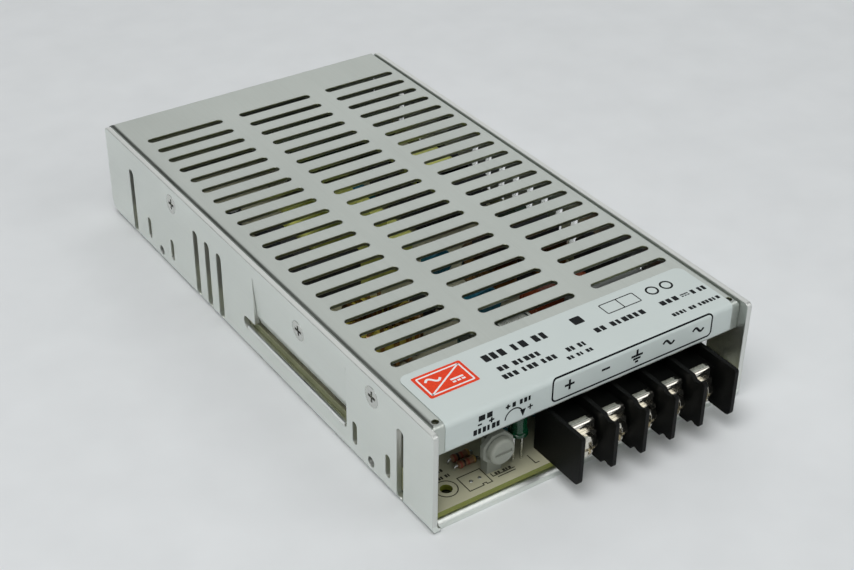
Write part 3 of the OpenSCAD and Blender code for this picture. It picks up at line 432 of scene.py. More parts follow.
@dataclass(frozen=True)
class Bands:
    """Soft bands: their pitch in millimetres, the axis they lie across, and how far they wander."""

    pitch: float
    axis: Axis
    wander: float = 0.0

    def build(self, tree: Tree) -> Socket:
        """Adds the bands on Object coordinates: a sine of 2 pi p / pitch.

        Args:
            tree: The material's nodes.

        Returns:
            The bands' value, from 0 to 1.
        """
        place = add(tree, "ShaderNodeTexCoord")
        scale = 2 * math.pi * per_mm(self.pitch) / WAVE_RADIANS
        inputs = {"Vector": place.outputs["Object"], "Scale": scale, "Distortion": self.wander}
        return add(tree, "ShaderNodeTexWave", inputs, bands_direction=self.axis.value).outputs[1]


def even(size: float, detail: float) -> Noise:
    """Gives noise whose cell is the same size along each axis."""
    return Noise((size, size, size), detail)


@dataclass(frozen=True)
class Finish:
    """A surface finish. Each kind says what the material is and how its surface was made.

    Tone mixes two shades of the hue, given as factors. Skin drives roughness, by a swing each way, and
    the bump, by its height in millimetres, over edges broken by a small radius. Without a skin, tone
    drives them. Constants are the shader's values that are the same all over.
    """

    name: str
    hue: str
    rough: float
    edge: float = 0.2
    shine: float = 0.5
    tone: Noise | Bands = even(3.0, 2.0)
    shades: Pair = (0.9, 1.1)
    skin: Noise | None = None
    bump: float = 0.01
    swing: float = 0.05
    constants: Constants = ()

    def build(self) -> bpy.types.Material:
        """Makes the material on its first use.

        Returns:
            The material.
        """
        found = bpy.data.materials.get(self.name)
        if found:
            return found
        made = bpy.data.materials.new(self.name)
        made.use_nodes = True
        tree = made.node_tree
        tree.nodes.clear()
        values = {"Specular IOR Level": self.shine, **dict(self.constants)}
        shader = add(tree, "ShaderNodeBsdfPrincipled", values)
        add(tree, "ShaderNodeOutputMaterial", {"Surface": shader.outputs[0]})
        tone = self.tone.build(tree)
        tree.links.new(self.colour(tree, shader, tone), shader.inputs["Base Color"])
        self.relief(tree, shader, self.skin.build(tree) if self.skin else tone)
        return made

    def colour(self, tree: Tree, shader: Node, tone: Socket) -> Socket:
        """Gives the colour: two shades of the hue, mixed by the tone."""
        return self.tint(tree, tone, *(self.shade(by) for by in self.shades))

    def shade(self, by: float) -> str:
        """Gives the finish's hex colour, lighter or darker by a factor."""
        return "#%02x%02x%02x" % tuple(min(255, round(part * by)) for part in channels(self.hue))

    def tint(self, tree: Tree, by: Socket, low: str | Socket, high: str | Socket) -> Socket:
        """Mixes two colours, each a hex code or a socket, by a factor."""
        ends = [linear(c) if isinstance(c, str) else c for c in (low, high)]
        return add(tree, "ShaderNodeMix", {0: by, 6: ends[0], 7: ends[1]}, data_type="RGBA").outputs[2]

    def relief(self, tree: Tree, shader: Node, by: Socket) -> None:
        """Links roughness and bump to a pattern.

        Args:
            tree: The material's nodes.
            shader: The shader that is linked.
            by: The pattern.
        """
        span = {"From Min": NOISE_LOW, "From Max": NOISE_HIGH}
        span |= {"To Min": self.rough - self.swing, "To Max": self.rough + self.swing}
        gloss = add(tree, "ShaderNodeMapRange", {"Value": by, **span})
        tree.links.new(gloss.outputs[0], shader.inputs["Roughness"])
        rounded = add(tree, "ShaderNodeBevel", {"Radius": self.edge * MM}, samples=BEVEL_SAMPLES)
        inputs = {"Height": by, "Distance": self.bump * MM, "Strength": 1.0}
        bump = add(tree, "ShaderNodeBump", {**inputs, "Normal": rounded.outputs[0]})
        tree.links.new(bump.outputs[0], shader.inputs["Normal"])

    def facing(self, tree: Tree, axis: Axis, over: float) -> Socket:
        """Marks faces whose object normal along an axis is more than a share, either way.

        Args:
            tree: The material's nodes.
            axis: The axis.
            over: The share, from 0 to 1.

        Returns:
            One on those faces, and zero on the others.
        """
        place = add(tree, "ShaderNodeTexCoord")
        parts = add(tree, "ShaderNodeSeparateXYZ", {0: place.outputs["Normal"]})
        size = add(tree, "ShaderNodeMath", {0: parts.outputs[axis.value]}, operation="ABSOLUTE")
        inputs = {0: size.outputs[0], 1: over}
        return add(tree, "ShaderNodeMath", inputs, operation="GREATER_THAN").outputs[0]

    def past(self, tree: Tree, axis: Axis, level: float) -> Socket:
        """Marks what lies further along an axis than a level.

        Args:
            tree: The material's nodes.
            axis: The axis.
            level: The level in millimetres.

        Returns:
            One past the level, and zero before it.
        """
        place = add(tree, "ShaderNodeTexCoord")
        parts = add(tree, "ShaderNodeSeparateXYZ", {0: place.outputs["Object"]})
        inputs = {0: parts.outputs[axis.value], 1: level * MM}
        return add(tree, "ShaderNodeMath", inputs, operation="GREATER_THAN").outputs[0]


@dataclass(frozen=True)
class RolledAluminium(Finish):
    """Aluminium sheet, cold rolled and left bare: a soft satin grey with faint grain along the roll.

    The grain, 0.35 mm wide and 14 mm long, is drawn coarser than real so that it shows. Sheared edges
    over a level have a colour of their own: burnished by the tool on the chassis, and on the cover's slot
    walls an olive grey that is painted shade with a painted reflection of the olive parts below.
    """

    tone: Noise = Noise((26.0, 44.0, 26.0), 2.0)
    shades: Pair = (0.965, 1.035)
    skin: Noise = Noise((0.35, 14.0, 0.35), 3.0)
    bump: float = 0.004
    constants: Constants = (("Metallic", 1.0),)
    cut_tone_and_shade: str = "#d9dbd7"
    face_axis: Axis = Axis.X
    face_share: float = 0.55
    level: float = 2.6

    def colour(self, tree: Tree, shader: Node, tone: Socket) -> Socket:
        """Gives the faces' colour, and the sheared edges' tone where the sheet turns from its axis.

        On the cover's slot walls that tone is painted shade.

        Args:
            tree: The material's nodes.
            shader: Not used.
            tone: The pattern of the faces.

        Returns:
            The colour.
        """
        faces = super().colour(tree, shader, tone)
        flat = self.facing(tree, self.face_axis, self.face_share)
        edge = add(tree, "ShaderNodeMath", {0: 1.0, 1: flat}, operation="SUBTRACT")
        both = {0: edge.outputs[0], 1: self.past(tree, Axis.Z, self.level)}
        high = add(tree, "ShaderNodeMath", both, operation="MULTIPLY")
        # On the cover this sheared-edge tone is painted shade and painted reflection in the vents.
        return self.tint(tree, high.outputs[0], faces, self.cut_tone_and_shade)


@dataclass(frozen=True)
class PlatedSteel(Finish):
    """Metal with a thin bright skin: mirror-like, with a slight ripple in tone, gloss and height."""

    tone: Noise = even(1.2, 3.0)
    shades: Pair = (0.9, 1.06)
    bump: float = 0.02
    swing: float = 0.06
    constants: Constants = (("Metallic", 1.0),)


@dataclass(frozen=True)
class MouldedPlastic(Finish):
    """Moulded thermoplastic: an even colour with slow drifts from its flow, and the mould's fine grit."""

    tone: Noise = even(7.0, 2.0)
    skin: Noise = even(0.35, 1.0)
    bump: float = 0.008
    swing: float = 0.07


@dataclass(frozen=True)
class PrintedFilm(Finish):
    """Matt polyester film with a silver-grey ground: cooler than the sheet below, with a fine tooth."""

    tone: Noise = even(18.0, 2.0)
    shades: Pair = (0.98, 1.02)
    skin: Noise = even(0.25, 1.0)
    bump: float = 0.002


@dataclass(frozen=True)
class Ink(Finish):
    """Screen-printed ink: flat and dense, with tiny thin spots where the mesh left less of it."""

    tone: Noise = even(0.5, 2.0)
    shades: Pair = (0.9, 1.15)
    bump: float = 0.002
    swing: float = 0.06


@dataclass(frozen=True)
class BoardLaminate(Finish):
    """Paper and glass laminate: a cream varnished top with a faint weave, and an olive core at its edges."""

    tone: Noise = even(9.0, 3.0)
    shades: Pair = (0.92, 1.05)
    skin: Noise = even(0.6, 2.0)
    bump: float = 0.006
    swing: float = 0.06
    core: str = "#757b2b"
    core_top: float = 4.6
    level_share: float = 0.5

    def colour(self, tree: Tree, shader: Node, tone: Socket) -> Socket:
        """Gives the varnish on level faces over the core's top, and the core elsewhere.

        Args:
            tree: The material's nodes.
            shader: Not used.
            tone: The pattern of the varnish.

        Returns:
            The colour.
        """
        varnish = super().colour(tree, shader, tone)
        level = self.facing(tree, Axis.Z, self.level_share)
        face = self.tint(tree, level, self.core, varnish)
        return self.tint(tree, self.past(tree, Axis.Z, self.core_top), self.core, face)


@dataclass(frozen=True)
class TintedResin(Finish):
    """Cast epoxy, dyed right through and slightly milky: light goes in and comes back deep green."""

    tone: Noise = even(1.5, 2.0)
    shades: Pair = (0.85, 1.1)
    bump: float = 0.004
    swing: float = 0.04
    constants: Constants = (("Transmission Weight", 0.55), ("IOR", 1.53))


@dataclass(frozen=True)
class WrappedTape(Finish):
    """Polyester tape wound over a coil: glossy, with slow bands from its turns and small creases."""

    tone: Bands = Bands(37.7, Axis.Y, 0.6)
    shades: Pair = (0.82, 1.06)
    skin: Noise = Noise((3.0, 3.0, 1.5), 3.0)
    bump: float = 0.12
    swing: float = 0.08


@dataclass(frozen=True)
class EnamelledWire(Finish):
    """Copper wire under clear enamel: warm metal with a gloss coat, and a dark line between turns.

    The turns are drawn 5 mm wide, far coarser than real, so that they show.
    """

    tone: Bands = Bands(5.027, Axis.Z)
    shades: Pair = (0.55, 1.05)
    bump: float = 0.15
    constants: Constants = (("Metallic", 0.8), ("Coat Weight", 0.6))


@dataclass(frozen=True)
class SinteredCore(Finish):
    """Pressed and fired powder: dull and slightly speckled."""

    tone: Noise = even(0.5, 3.0)
    shades: Pair = (0.75, 1.25)
    bump: float = 0.03
    swing: float = 0.08


@dataclass(frozen=True)
class TapedCore(SinteredCore):
    """Ground ferrite under a wrap of polyester tape: dull dark grey, and yellow-green on one side."""

    tape: str = "#e2e680"
    wrap_from: float = -14.5

    def colour(self, tree: Tree, shader: Node, tone: Socket) -> Socket:
        """Gives the ferrite's speckle, and the tape from a place along X."""
        wrap = self.past(tree, Axis.X, self.wrap_from)
        return self.tint(tree, wrap, super().colour(tree, shader, tone), self.tape)


@dataclass(frozen=True)
class ShrinkSleeve(Finish):
    """Shrunk vinyl sleeve on an aluminium can: a glossy skin, with the bare can at its ends."""

    tone: Noise = Noise((2.0, 2.0, 5.0), 2.0)
    shades: Pair = (0.85, 1.15)
    bump: float = 0.03
    swing: float = 0.06
    can: str = "#c2c4c2"
    can_axis: Axis = Axis.Z
    end_share: float = 0.9

    def colour(self, tree: Tree, shader: Node, tone: Socket) -> Socket:
        """Gives the vinyl's colour, and bare metal where the face looks along the can.

        Args:
            tree: The material's nodes.
            shader: The shader, whose metallic socket is linked to the can's ends.
            tone: The pattern of the vinyl.

        Returns:
            The colour.
        """
        end = self.facing(tree, self.can_axis, self.end_share)
        tree.links.new(end, shader.inputs["Metallic"])
        return self.tint(tree, end, super().colour(tree, shader, tone), self.can)


@dataclass(frozen=True)
class DippedCoat(Finish):
    """Powder or lacquer coat on a dipped part: glossy, with slow changes of depth and an orange-peel skin."""

    tone: Noise = even(3.0, 2.0)
    shades: Pair = (0.85, 1.12)
    skin: Noise = even(0.9, 1.0)
    bump: float = 0.03


# Both sheets are the same rolled aluminium: the chassis's lighter hue is painted light on its side walls, and
# the cover's darker hue is painted shade on its top.
CHASSIS_SHEET = RolledAluminium("rolled aluminium chassis sheet", "#e4e8e3", 0.4, 0.45)
ROLLED_LIP = RolledAluminium("burnished aluminium lip", "#f0f2ee", 0.3, 0.05, cut_tone_and_shade="#f0f2ee")
ROLLED_FLOOR = RolledAluminium("rolled aluminium floor edge", "#dcdfda", 0.38, 0.05, cut_tone_and_shade="#dcdfda")
COVER_SHEET = RolledAluminium(
    # The slot walls' olive grey is painted shade with a painted reflection of the olive parts below.
    "rolled aluminium cover sheet", "#bdc2bc", 0.38, 0.45, cut_tone_and_shade="#90957a", face_axis=Axis.Z, level=29.3
)
LABEL = PrintedFilm("matt polyester label film", "#c9d2cf", 0.4, 0.1)
BLACK_INK = Ink("black screen ink", "#101214", 0.6, 0.02, 0.15)
RED_INK = Ink("orange red screen ink", "#e0401f", 0.6, 0.02, 0.15)
PALE_INK = Ink("white screen ink", "#eef0ee", 0.5, 0.02, 0.3)
LEGEND_INK = Ink("dark board legend ink", "#3a392f", 0.6, 0.02, 0.2)
ZINC = PlatedSteel("zinc plated steel", "#d2d3cf", 0.18, 0.25)
NICKEL = PlatedSteel("bright nickel plated steel", "#dedacf", 0.13, tone=even(0.9, 3.0))
TIN = PlatedSteel("dipped tin solder", "#d3d4d2", 0.25, 0.05, tone=even(0.6, 3.0))
BRASS = PlatedSteel("turned brass", "#c8a65a", 0.3, 0.1)
BLACK_MOULDING = MouldedPlastic("black glass-filled moulding", "#070807", 0.5, 0.22, 0.14)
BLACK_EPOXY = MouldedPlastic("black transfer-moulded epoxy", "#232426", 0.55, 0.1, skin=even(0.2, 1.0))
GREY_MOULDING = MouldedPlastic("pale grey nylon moulding", "#8f9288", 0.5, 0.25, 0.35)
GREY_CASE = MouldedPlastic("grey moulded capacitor box", "#8a8d8b", 0.5, 0.3)
PAD = MouldedPlastic("grey silicone thermal pad", "#84888b", 0.75, 0.05, skin=even(0.8, 1.0))
INSULATOR = MouldedPlastic("olive insulating film", "#7f8262", 0.4, 0.02, skin=even(1.5, 1.0))
BOARD = BoardLaminate("cream varnished board laminate", "#bab89c", 0.45, 0.05)
LENS = TintedResin("green cast epoxy lens", "#0e5534", 0.16, 0.05)
FERRITE = SinteredCore("ground ferrite", "#34353a", 0.72, 0.15)
TAPED_FERRITE = TapedCore("taped ferrite", "#34353a", 0.5, 0.15)
POWDER_CORE = SinteredCore("yellow coated powder core", "#c2b44a", 0.5, 0.3)
TAPE = WrappedTape("yellow polyester tape", "#e2e680", 0.28)
COPPER = EnamelledWire("enamelled copper wire", "#a8783f", 0.28, 0.1)
DARK_SLEEVE = ShrinkSleeve("black vinyl sleeve", "#22262b", 0.3)
LYING_SLEEVE = ShrinkSleeve("dark green vinyl sleeve on a lying can", "#303a28", 0.3, can_axis=Axis.X)
TEAL_SLEEVE = ShrinkSleeve("teal vinyl sleeve", "#1f5a61", 0.3)
RED_DIP = DippedCoat("red brown epoxy dip", "#9c4a2b", 0.3)
BLUE_DIP = DippedCoat("blue epoxy dip", "#236f88", 0.3)
GREEN_DIP = DippedCoat("dark green lacquer dip", "#33463a", 0.45)
CERAMIC = DippedCoat("glazed ceramic tube", "#dcd7c8", 0.25, 0.1)
RESISTOR_COAT = DippedCoat("brown resistor lacquer", "#8a6548", 0.4, 0.05)
BAND_RED = DippedCoat("red band lacquer", "#8c402c", 0.4, 0.02)
BAND_DARK = DippedCoat("dark band lacquer", "#2a1c18", 0.4, 0.02)
BAND_GOLD = DippedCoat("gold band lacquer", "#a3864a", 0.4, 0.02)

TERMINALS = range(1, 6)
NODE_FINISHES: dict[Finish, list[str]] = {
    CHASSIS_SHEET: ["chassis"],
    COVER_SHEET: ["cover"],
    LABEL: ["label_film"],
    ZINC: ["cover_screws", "clamp_screw", "clamp_bar", "board_screws"],
    NICKEL: ["terminal_plates", "fuse_clips"]
    + [f"{part}_{i}" for part in ("terminal_screw", "clamp_washer") for i in TERMINALS],
    BRASS: ["standoffs"],
    BLACK_MOULDING: ["terminal_block", "boost_choke_bobbin"],
    BLACK_EPOXY: ["power_transistors", "bridge_rectifier", "control_chips", "optocouplers"],
    GREY_MOULDING: ["trimmer_holder", "trimmer_cap"],
    GREY_CASE: ["filter_capacitor"],
    PAD: ["thermal_pad"],
    INSULATOR: ["insulating_sheet"],
    BOARD: ["circuit_board"],
    FERRITE: ["boost_choke_core", "line_choke_core"],
    TAPED_FERRITE: ["transformer_core"],
    POWDER_CORE: ["output_choke_core"],
    TAPE: ["transformer_winding", "transformer_bobbin", "boost_choke_winding"],
    COPPER: ["output_choke_turns", "line_choke_windings"],
    DARK_SLEEVE: ["small_capacitors"],
    LYING_SLEEVE: ["bulk_capacitor"],
    TEAL_SLEEVE: ["output_capacitors"],
    RED_DIP: ["film_capacitor"],
    BLUE_DIP: ["disc_capacitors", "varistor"],
    GREEN_DIP: ["thermistor"],
    CERAMIC: ["fuse"],
}


def dress_nodes(nodes: dict[str, bpy.types.Object]) -> None:
    """Puts each CAD node's finish into its material slots.

    Args:
        nodes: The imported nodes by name.
    """
    for finish, names in NODE_FINISHES.items():
        for name in names:
            for place in nodes[name].material_slots:
                place.material = finish.build()
            log.info("%s: %s", name, finish.name)


# New pieces


class Sign(Enum):
    """Plain marks as polylines in a box one high, standing on its lower left corner."""

    PLUS = (((0.1, 0.5), (0.9, 0.5)), ((0.5, 0.1), (0.5, 0.9)))
    MINUS = (((0.15, 0.5), (0.85, 0.5)),)
    EARTH = (
        ((0.5, 1.0), (0.5, 0.52)),
        ((0.0, 0.52), (1.0, 0.52)),
        ((0.18, 0.27), (0.82, 0.27)),
        ((0.36, 0.02), (0.64, 0.02)),
    )
    DIRECT = (
        ((0.0, 0.62), (1.0, 0.62)),
        ((0.0, 0.34), (0.26, 0.34)),
        ((0.37, 0.34), (0.63, 0.34)),
        ((0.74, 0.34), (1.0, 0.34)),
    )

    def draw(self, face: Face, at: Pair, height: float, width: float) -> list[Shape]:
        """Draws the mark on a face, centred on a point.

        Args:
            face: The face that carries it.
            at: The mark's middle on that face.
            height: The height of its box.
            width: The width of its lines.

        Returns:
            One shape for each line.
        """
        corner = np.asarray(at) - height / 2
        return [face.line(corner + height * np.asarray(line), width) for line in self.value]


def wave(face: Face, at: Pair, length: float, width: float) -> Shape:
    """Draws the alternating current mark: y = -h l sin(2 pi x / l) over one length, h being WAVE_RISE.

    Args:
        face: The face that carries it.
        at: The mark's middle on that face.
        length: Its length.
        width: The width of its line.

    Returns:
        The line's surface.
    """
    x = np.linspace(-0.5, 0.5, WAVE_STEPS)
    curve = np.stack([x, -WAVE_RISE * np.sin(2 * np.pi * x)], axis=-1)
    return face.line(np.asarray(at) + length * curve, width)


@dataclass(frozen=True)
class PrintRow:
    """A row of small blocks in place of a line of type: its ends, level, height and blocks in each word."""

    start: float
    end: float
    level: float
    height: float
    words: tuple[int, ...]
    shares: tuple[float, ...] = (0.78, 0.66, 0.72, 0.5, 0.8, 0.7, 0.6)
    space: float = 0.7
    corner: float = 0.12

    def draw(self, face: Face) -> list[Shape]:
        """Draws the blocks: each fills a share of one pitch, and words stand a space further apart.

        Args:
            face: The face that carries the row.

        Returns:
            One shape for each block.
        """
        gaps = self.space * (len(self.words) - 1)
        pitch = (self.end - self.start) / (sum(self.words) + gaps)
        word = np.repeat(np.arange(len(self.words)), self.words)
        block = np.arange(len(word))
        left = self.start + pitch * (block + self.space * word)
        right = left + pitch * np.take(self.shares, block, mode="wrap")
        low, high = self.level - self.height / 2, self.level + self.height / 2
        ends = zip(left, right)
        return [face.pad(round_box((x0, low), (x1, high), self.corner)) for x0, x1 in ends]


@dataclass
class LabelPrint:
    """The label's print as plain fields, rows of blocks and signs, on its level part and its front flap."""

    top: Face
    front: Face
    line_w: float = 0.48
    bold_w: float = 0.648
    light_w: float = 0.384
    top_rows: tuple[PrintRow, ...] = (
        PrintRow(-22.7, -2.7, -71.4, 2.7, (3, 2, 2)),
        PrintRow(-22.0, -9.0, -76.7, 1.8, (2, 5)),
        PrintRow(-22.8, -6.4, -79.9, 1.8, (3, 3, 3)),
        PrintRow(-3.2, 3.0, -79.5, 1.7, (2, 2)),
        PrintRow(-5.2, 2.8, -82.4, 1.3, (2, 2, 2)),
        PrintRow(7.8, 24.2, -77.0, 1.9, (2, 6)),
        PrintRow(29.3, 35.6, -77.0, 1.8, (3,)),
        PrintRow(39.6, 44.6, -77.2, 1.8, (1, 2)),
        PrintRow(28.6, 44.6, -82.5, 1.3, (4, 2, 6)),
    )
    flap_rows: tuple[PrintRow, ...] = (
        PrintRow(-35.0, -30.2, 27.5, 1.6, (2,)),
        PrintRow(-36.4, -28.4, 23.8, 1.6, (6,)),
        PrintRow(-25.2, -19.2, 27.5, 1.4, (1, 3)),
    )
    box: Box = ((15.4, -73.0), (26.4, -68.9))
    box_split: float = 20.9
    box_w: float = 0.3
    square: Box = ((5.2, -72.4), (8.4, -69.4))
    square_corner: float = 0.4
    ring_xs: Pair = (31.6, 36.4)
    ring_y: float = -71.0
    ring_r: float = 1.6
    ring_w: float = 0.55
    direct_at: Pair = (37.5, -77.0)
    direct_h: float = 2.6
    frame: Box = ((-13.1, 23.0), (38.3, 29.7))
    frame_corner: float = 1.3
    sign_xs: tuple[float, ...] = (-7.9, 3.4, 13.4)
    wave_xs: tuple[float, ...] = (23.8, 33.7)
    sign_z: float = 26.4
    sign_h: float = 3.7
    small_signs: tuple[tuple[Sign, Pair, float, float], ...] = (
        (Sign.MINUS, (-34.6, 25.7), 1.7, 0.48),
        (Sign.PLUS, (-31.2, 25.7), 1.9, 0.48),
        (Sign.PLUS, (-26.5, 27.5), 1.7, 0.48),
    )
    arrow_centre: Pair = (-24.6, 23.6)
    arrow_r: float = 2.6
    arrow_turn: Pair = (178, 12)
    arrow_w: float = 0.36
    arrow_steps: int = 24
    arrow_head: tuple[Pair, ...] = ((-22.8, 24.9), (-21.1, 24.9), (-21.9, 22.8))
    arrow_plus: Pair = (-19.8, 24.8)
    arrow_plus_h: float = 1.9
    red: Box = ((-41.9, -77.4), (-27.7, -68.3))
    red_corner: float = 0.5
    emblem_inset: float = 1.0
    emblem_corner: float = 0.3
    emblem_w: float = 0.45
    emblem_lift: float = 0.05
    mark_inset: Pair = (3.4, 2.2)
    mark_wave: Pair = (4.2, 0.65)
    mark_direct: Pair = (3.6, 0.6)

    def build(self) -> None:
        """Draws the black, red and white print, each as one piece."""
        black = join(self.type_rows() + self.signs())
        piece("label_print_black", black, BLACK_INK, Body.CASE)
        red = self.top.pad(round_box(*self.red, self.red_corner))
        piece("label_print_red", red, RED_INK, Body.CASE)
        piece("label_print_white", join(self.emblem()), PALE_INK, Body.CASE)

    def type_rows(self) -> list[Shape]:
        """Draws the rows of blocks on both parts, and the plain box, square and rings beside them.

        Returns:
            The shapes in black ink.
        """
        made = [block for row in self.top_rows for block in row.draw(self.top)]
        made += [block for row in self.flap_rows for block in row.draw(self.front)]
        box = round_box(*self.box, self.box_w)
        made.append(self.top.line(box, self.box_w, closed=True))
        split = np.array([(self.box_split, y) for _, y in self.box])
        made.append(self.top.line(split, self.box_w))
        made.append(self.top.pad(round_box(*self.square, self.square_corner)))
        for x in self.ring_xs:
            ring = arc((x, self.ring_y), self.ring_r, 0, RING_END, RING_STEPS)
            made.append(self.top.line(ring, self.ring_w, closed=True))
        return made

    def signs(self) -> list[Shape]:
        """Draws the framed row of terminal signs, the supply's signs and the trimmer's turning arrow.

        Returns:
            The shapes in black ink.
        """
        made = Sign.DIRECT.draw(self.top, self.direct_at, self.direct_h, self.light_w)
        frame = round_box(*self.frame, self.frame_corner)
        made.append(self.front.line(frame, self.line_w, closed=True))
        for mark, x in zip((Sign.PLUS, Sign.MINUS, Sign.EARTH), self.sign_xs):
            made += mark.draw(self.front, (x, self.sign_z), self.sign_h, self.bold_w)
        for x in self.wave_xs:
            made.append(wave(self.front, (x, self.sign_z), self.sign_h, self.bold_w))
        for mark, at, height, width in self.small_signs:
            made += mark.draw(self.front, at, height, width)
        shaft = arc(self.arrow_centre, self.arrow_r, *self.arrow_turn, self.arrow_steps)
        made.append(self.front.line(shaft, self.arrow_w))
        made.append(self.front.pad(np.array(self.arrow_head)))
        return made + Sign.PLUS.draw(self.front, self.arrow_plus, self.arrow_plus_h, self.light_w)

    def emblem(self) -> list[Shape]:
        """Draws the sign for a converter on the red field: a slanted line between two current marks.

        Returns:
            The shapes in white ink.
        """
        raised = Face(self.top.origin, self.top.across, self.top.up, 0.0, self.emblem_lift)
        x0, y0 = np.add(self.red[0], self.emblem_inset)
        x1, y1 = np.subtract(self.red[1], self.emblem_inset)
        frame = round_box((x0, y0), (x1, y1), self.emblem_corner)
        made = [raised.line(frame, self.emblem_w, closed=True)]
        made.append(raised.line(np.array([[x0, y0], [x1, y1]]), self.emblem_w))
        across, up = self.mark_inset
        made.append(wave(raised, (x0 + across, y1 - up), *self.mark_wave))
        made += Sign.DIRECT.draw(raised, (x1 - across, y0 + up), *self.mark_direct)
        return made


@dataclass
class BoardLegend:
    """The dark print on the board's open front corner, and the two soldered holes of the empty place."""

    top: Face
    line_w: float = 0.28
    hole: Pair = (-40.7, -82.5)
    hole_ring: float = 2.9
    outline: tuple[Pair, ...] = (
        (-29.7, -86.4), (-29.7, -80.8), (-36.4, -80.8), (-36.4, -86.4),
        (-32.2, -86.4), (-32.2, -85.8), (-31.2, -85.8), (-31.2, -86.4),
    )
    strokes: tuple[tuple[Pair, ...], ...] = (
        ((-28.5, -83.8), (-28.5, -85.0), (-22.0, -85.0)),
        ((-27.6, -85.8), (-22.3, -85.8)),
        ((-16.8, -83.2), (-16.8, -86.7), (-15.6, -86.7)),
    )
    rows: tuple[PrintRow, ...] = (
        PrintRow(-45.0, -41.4, -77.6, 1.3, (3,)),
        PrintRow(-40.4, -36.8, -78.6, 1.1, (2, 2)),
        PrintRow(-40.0, -37.4, -76.2, 1.1, (3,)),
        PrintRow(-27.6, -22.6, -84.4, 0.8, (2, 3)),
    )
    place: Pair = (-32.8, -83.5)
    pin_offset: float = 1.25
    dome_r: float = 0.5
    dome_h: float = 0.14
    dome_rows: int = 7
    dome_facets: int = 24

    def build(self) -> None:
        """Draws the legend as one piece, and the solder as another: P(u) = (r cos u, h sin u), turned."""
        ring = arc(self.hole, self.hole_ring, 0, RING_END, RING_STEPS)
        made = [self.top.line(ring, self.line_w, closed=True)]
        made.append(self.top.line(np.array(self.outline), self.line_w, closed=True))
        made += [self.top.line(np.array(stroke), self.line_w) for stroke in self.strokes]
        for row in self.rows:
            made += row.draw(self.top)
        piece("board_legend", join(made), LEGEND_INK, Body.CASE)
        u = np.linspace(0, np.pi / 2, self.dome_rows)
        dome = lathe(self.dome_r * np.cos(u), self.dome_h * np.sin(u), self.dome_facets)
        (x, y), z = self.place, self.top.origin[2]
        domes = [dome.moved((x + side * self.pin_offset, y, z)) for side in (-1, 1)]
        piece("solder_domes", join(domes), TIN, Body.CASE)


@dataclass
class RolledEdge:
    """A sheared edge of the chassis sheet, rolled over by the tool.

    It has the outside on its left, and its section holds offsets outwards and up.
    """

    name: str
    start: Triple
    end: Triple
    section: tuple[Pair, ...]
    finish: Finish
    sharp: float = 60.0

    def build(self) -> None:
        """Carries the section along the edge."""
        lip = sweep(np.array([self.start, self.end]), np.asarray(self.section), Z_AXIS)
        piece(self.name, lip, self.finish, Body.CASE, self.sharp)


SLIT_LIP = RolledEdge(
    "slit_lip",
    (-48.75, -49.9, 7.0),
    (-48.75, 1.0, 7.0),
    ((0.74, 0.0), (0.68, 0.5), (0.46, 0.95), (0.16, 1.1), (-0.74, 0.75), (-0.74, 0.0)),
    ROLLED_LIP,
)
FLOOR_LIP = RolledEdge(
    "floor_lip",
    (46.9, -87.825, 1.5),
    (-46.9, -87.825, 1.5),
    (
        (0.67, 0.0), (0.44, 0.34), (0.1, 0.68), (-0.25, 0.92),
        (-0.5, 1.03), (-0.67, 0.95), (-0.67, 0.0),
    ),
    ROLLED_FLOOR,
)


@dataclass
class Lamp:
    """The round indicator: a cast lens with a rim, and two leads from the board up into it."""

    board_z: float
    axis: Pair = (-20.1, -83.2)
    base_z: float = 14.3
    top_z: float = 21.0
    radius: float = 2.1
    rim: float = 0.4
    rim_h: float = 1.0
    chamfer: float = 0.1
    foot: float = 0.02
    foot_h: float = 0.15
    lead: float = 0.5
    pitch: float = 2.54
    reaches: Pair = (3.4, 2.6)
    dome_rows: int = 14
    facets: int = 56

    def build(self) -> None:
        """Makes the lens by turning its profile: a chamfered rim, a wall and a quarter circle."""
        r, wide, c = self.radius, self.radius + self.rim, self.chamfer
        dome = np.linspace(0, np.pi / 2, self.dome_rows)
        rim = np.array([0, wide - c, wide, wide, wide - c, r + self.foot, r])
        steps = np.array([0, 0, c, self.rim_h - c, self.rim_h, self.rim_h, self.rim_h + self.foot_h])
        radius = np.concatenate([rim, r * np.cos(dome)])
        height = np.concatenate([self.base_z + steps, self.top_z - r + r * np.sin(dome)])
        lens = lathe(radius, height, self.facets).moved((*self.axis, 0.0))
        body = piece("indicator_lens", lens, LENS, Body.CASE)
        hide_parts("indicator_lamp")
        legs = join([self.leg(side, reach) for side, reach in zip((-1, 1), self.reaches)])
        piece("indicator_leads", legs, TIN, Body.CASE)

    def leg(self, side: int, reach: float) -> Shape:
        """Carries the lead's square straight up from the board into the lens.

        Args:
            side: Minus one for the left lead, one for the right.
            reach: How far it goes into the lens.

        Returns:
            The lead's surface.
        """
        x, y = self.axis[0] + side * self.pitch / 2, self.axis[1]
        half = self.lead / 2
        square = np.array([[-half, -half], [half, -half], [half, half], [-half, half]])
        levels = (self.board_z, self.base_z, self.base_z + reach)
        return sweep(np.array([[x, y, z] for z in levels]), square, Y_AXIS)


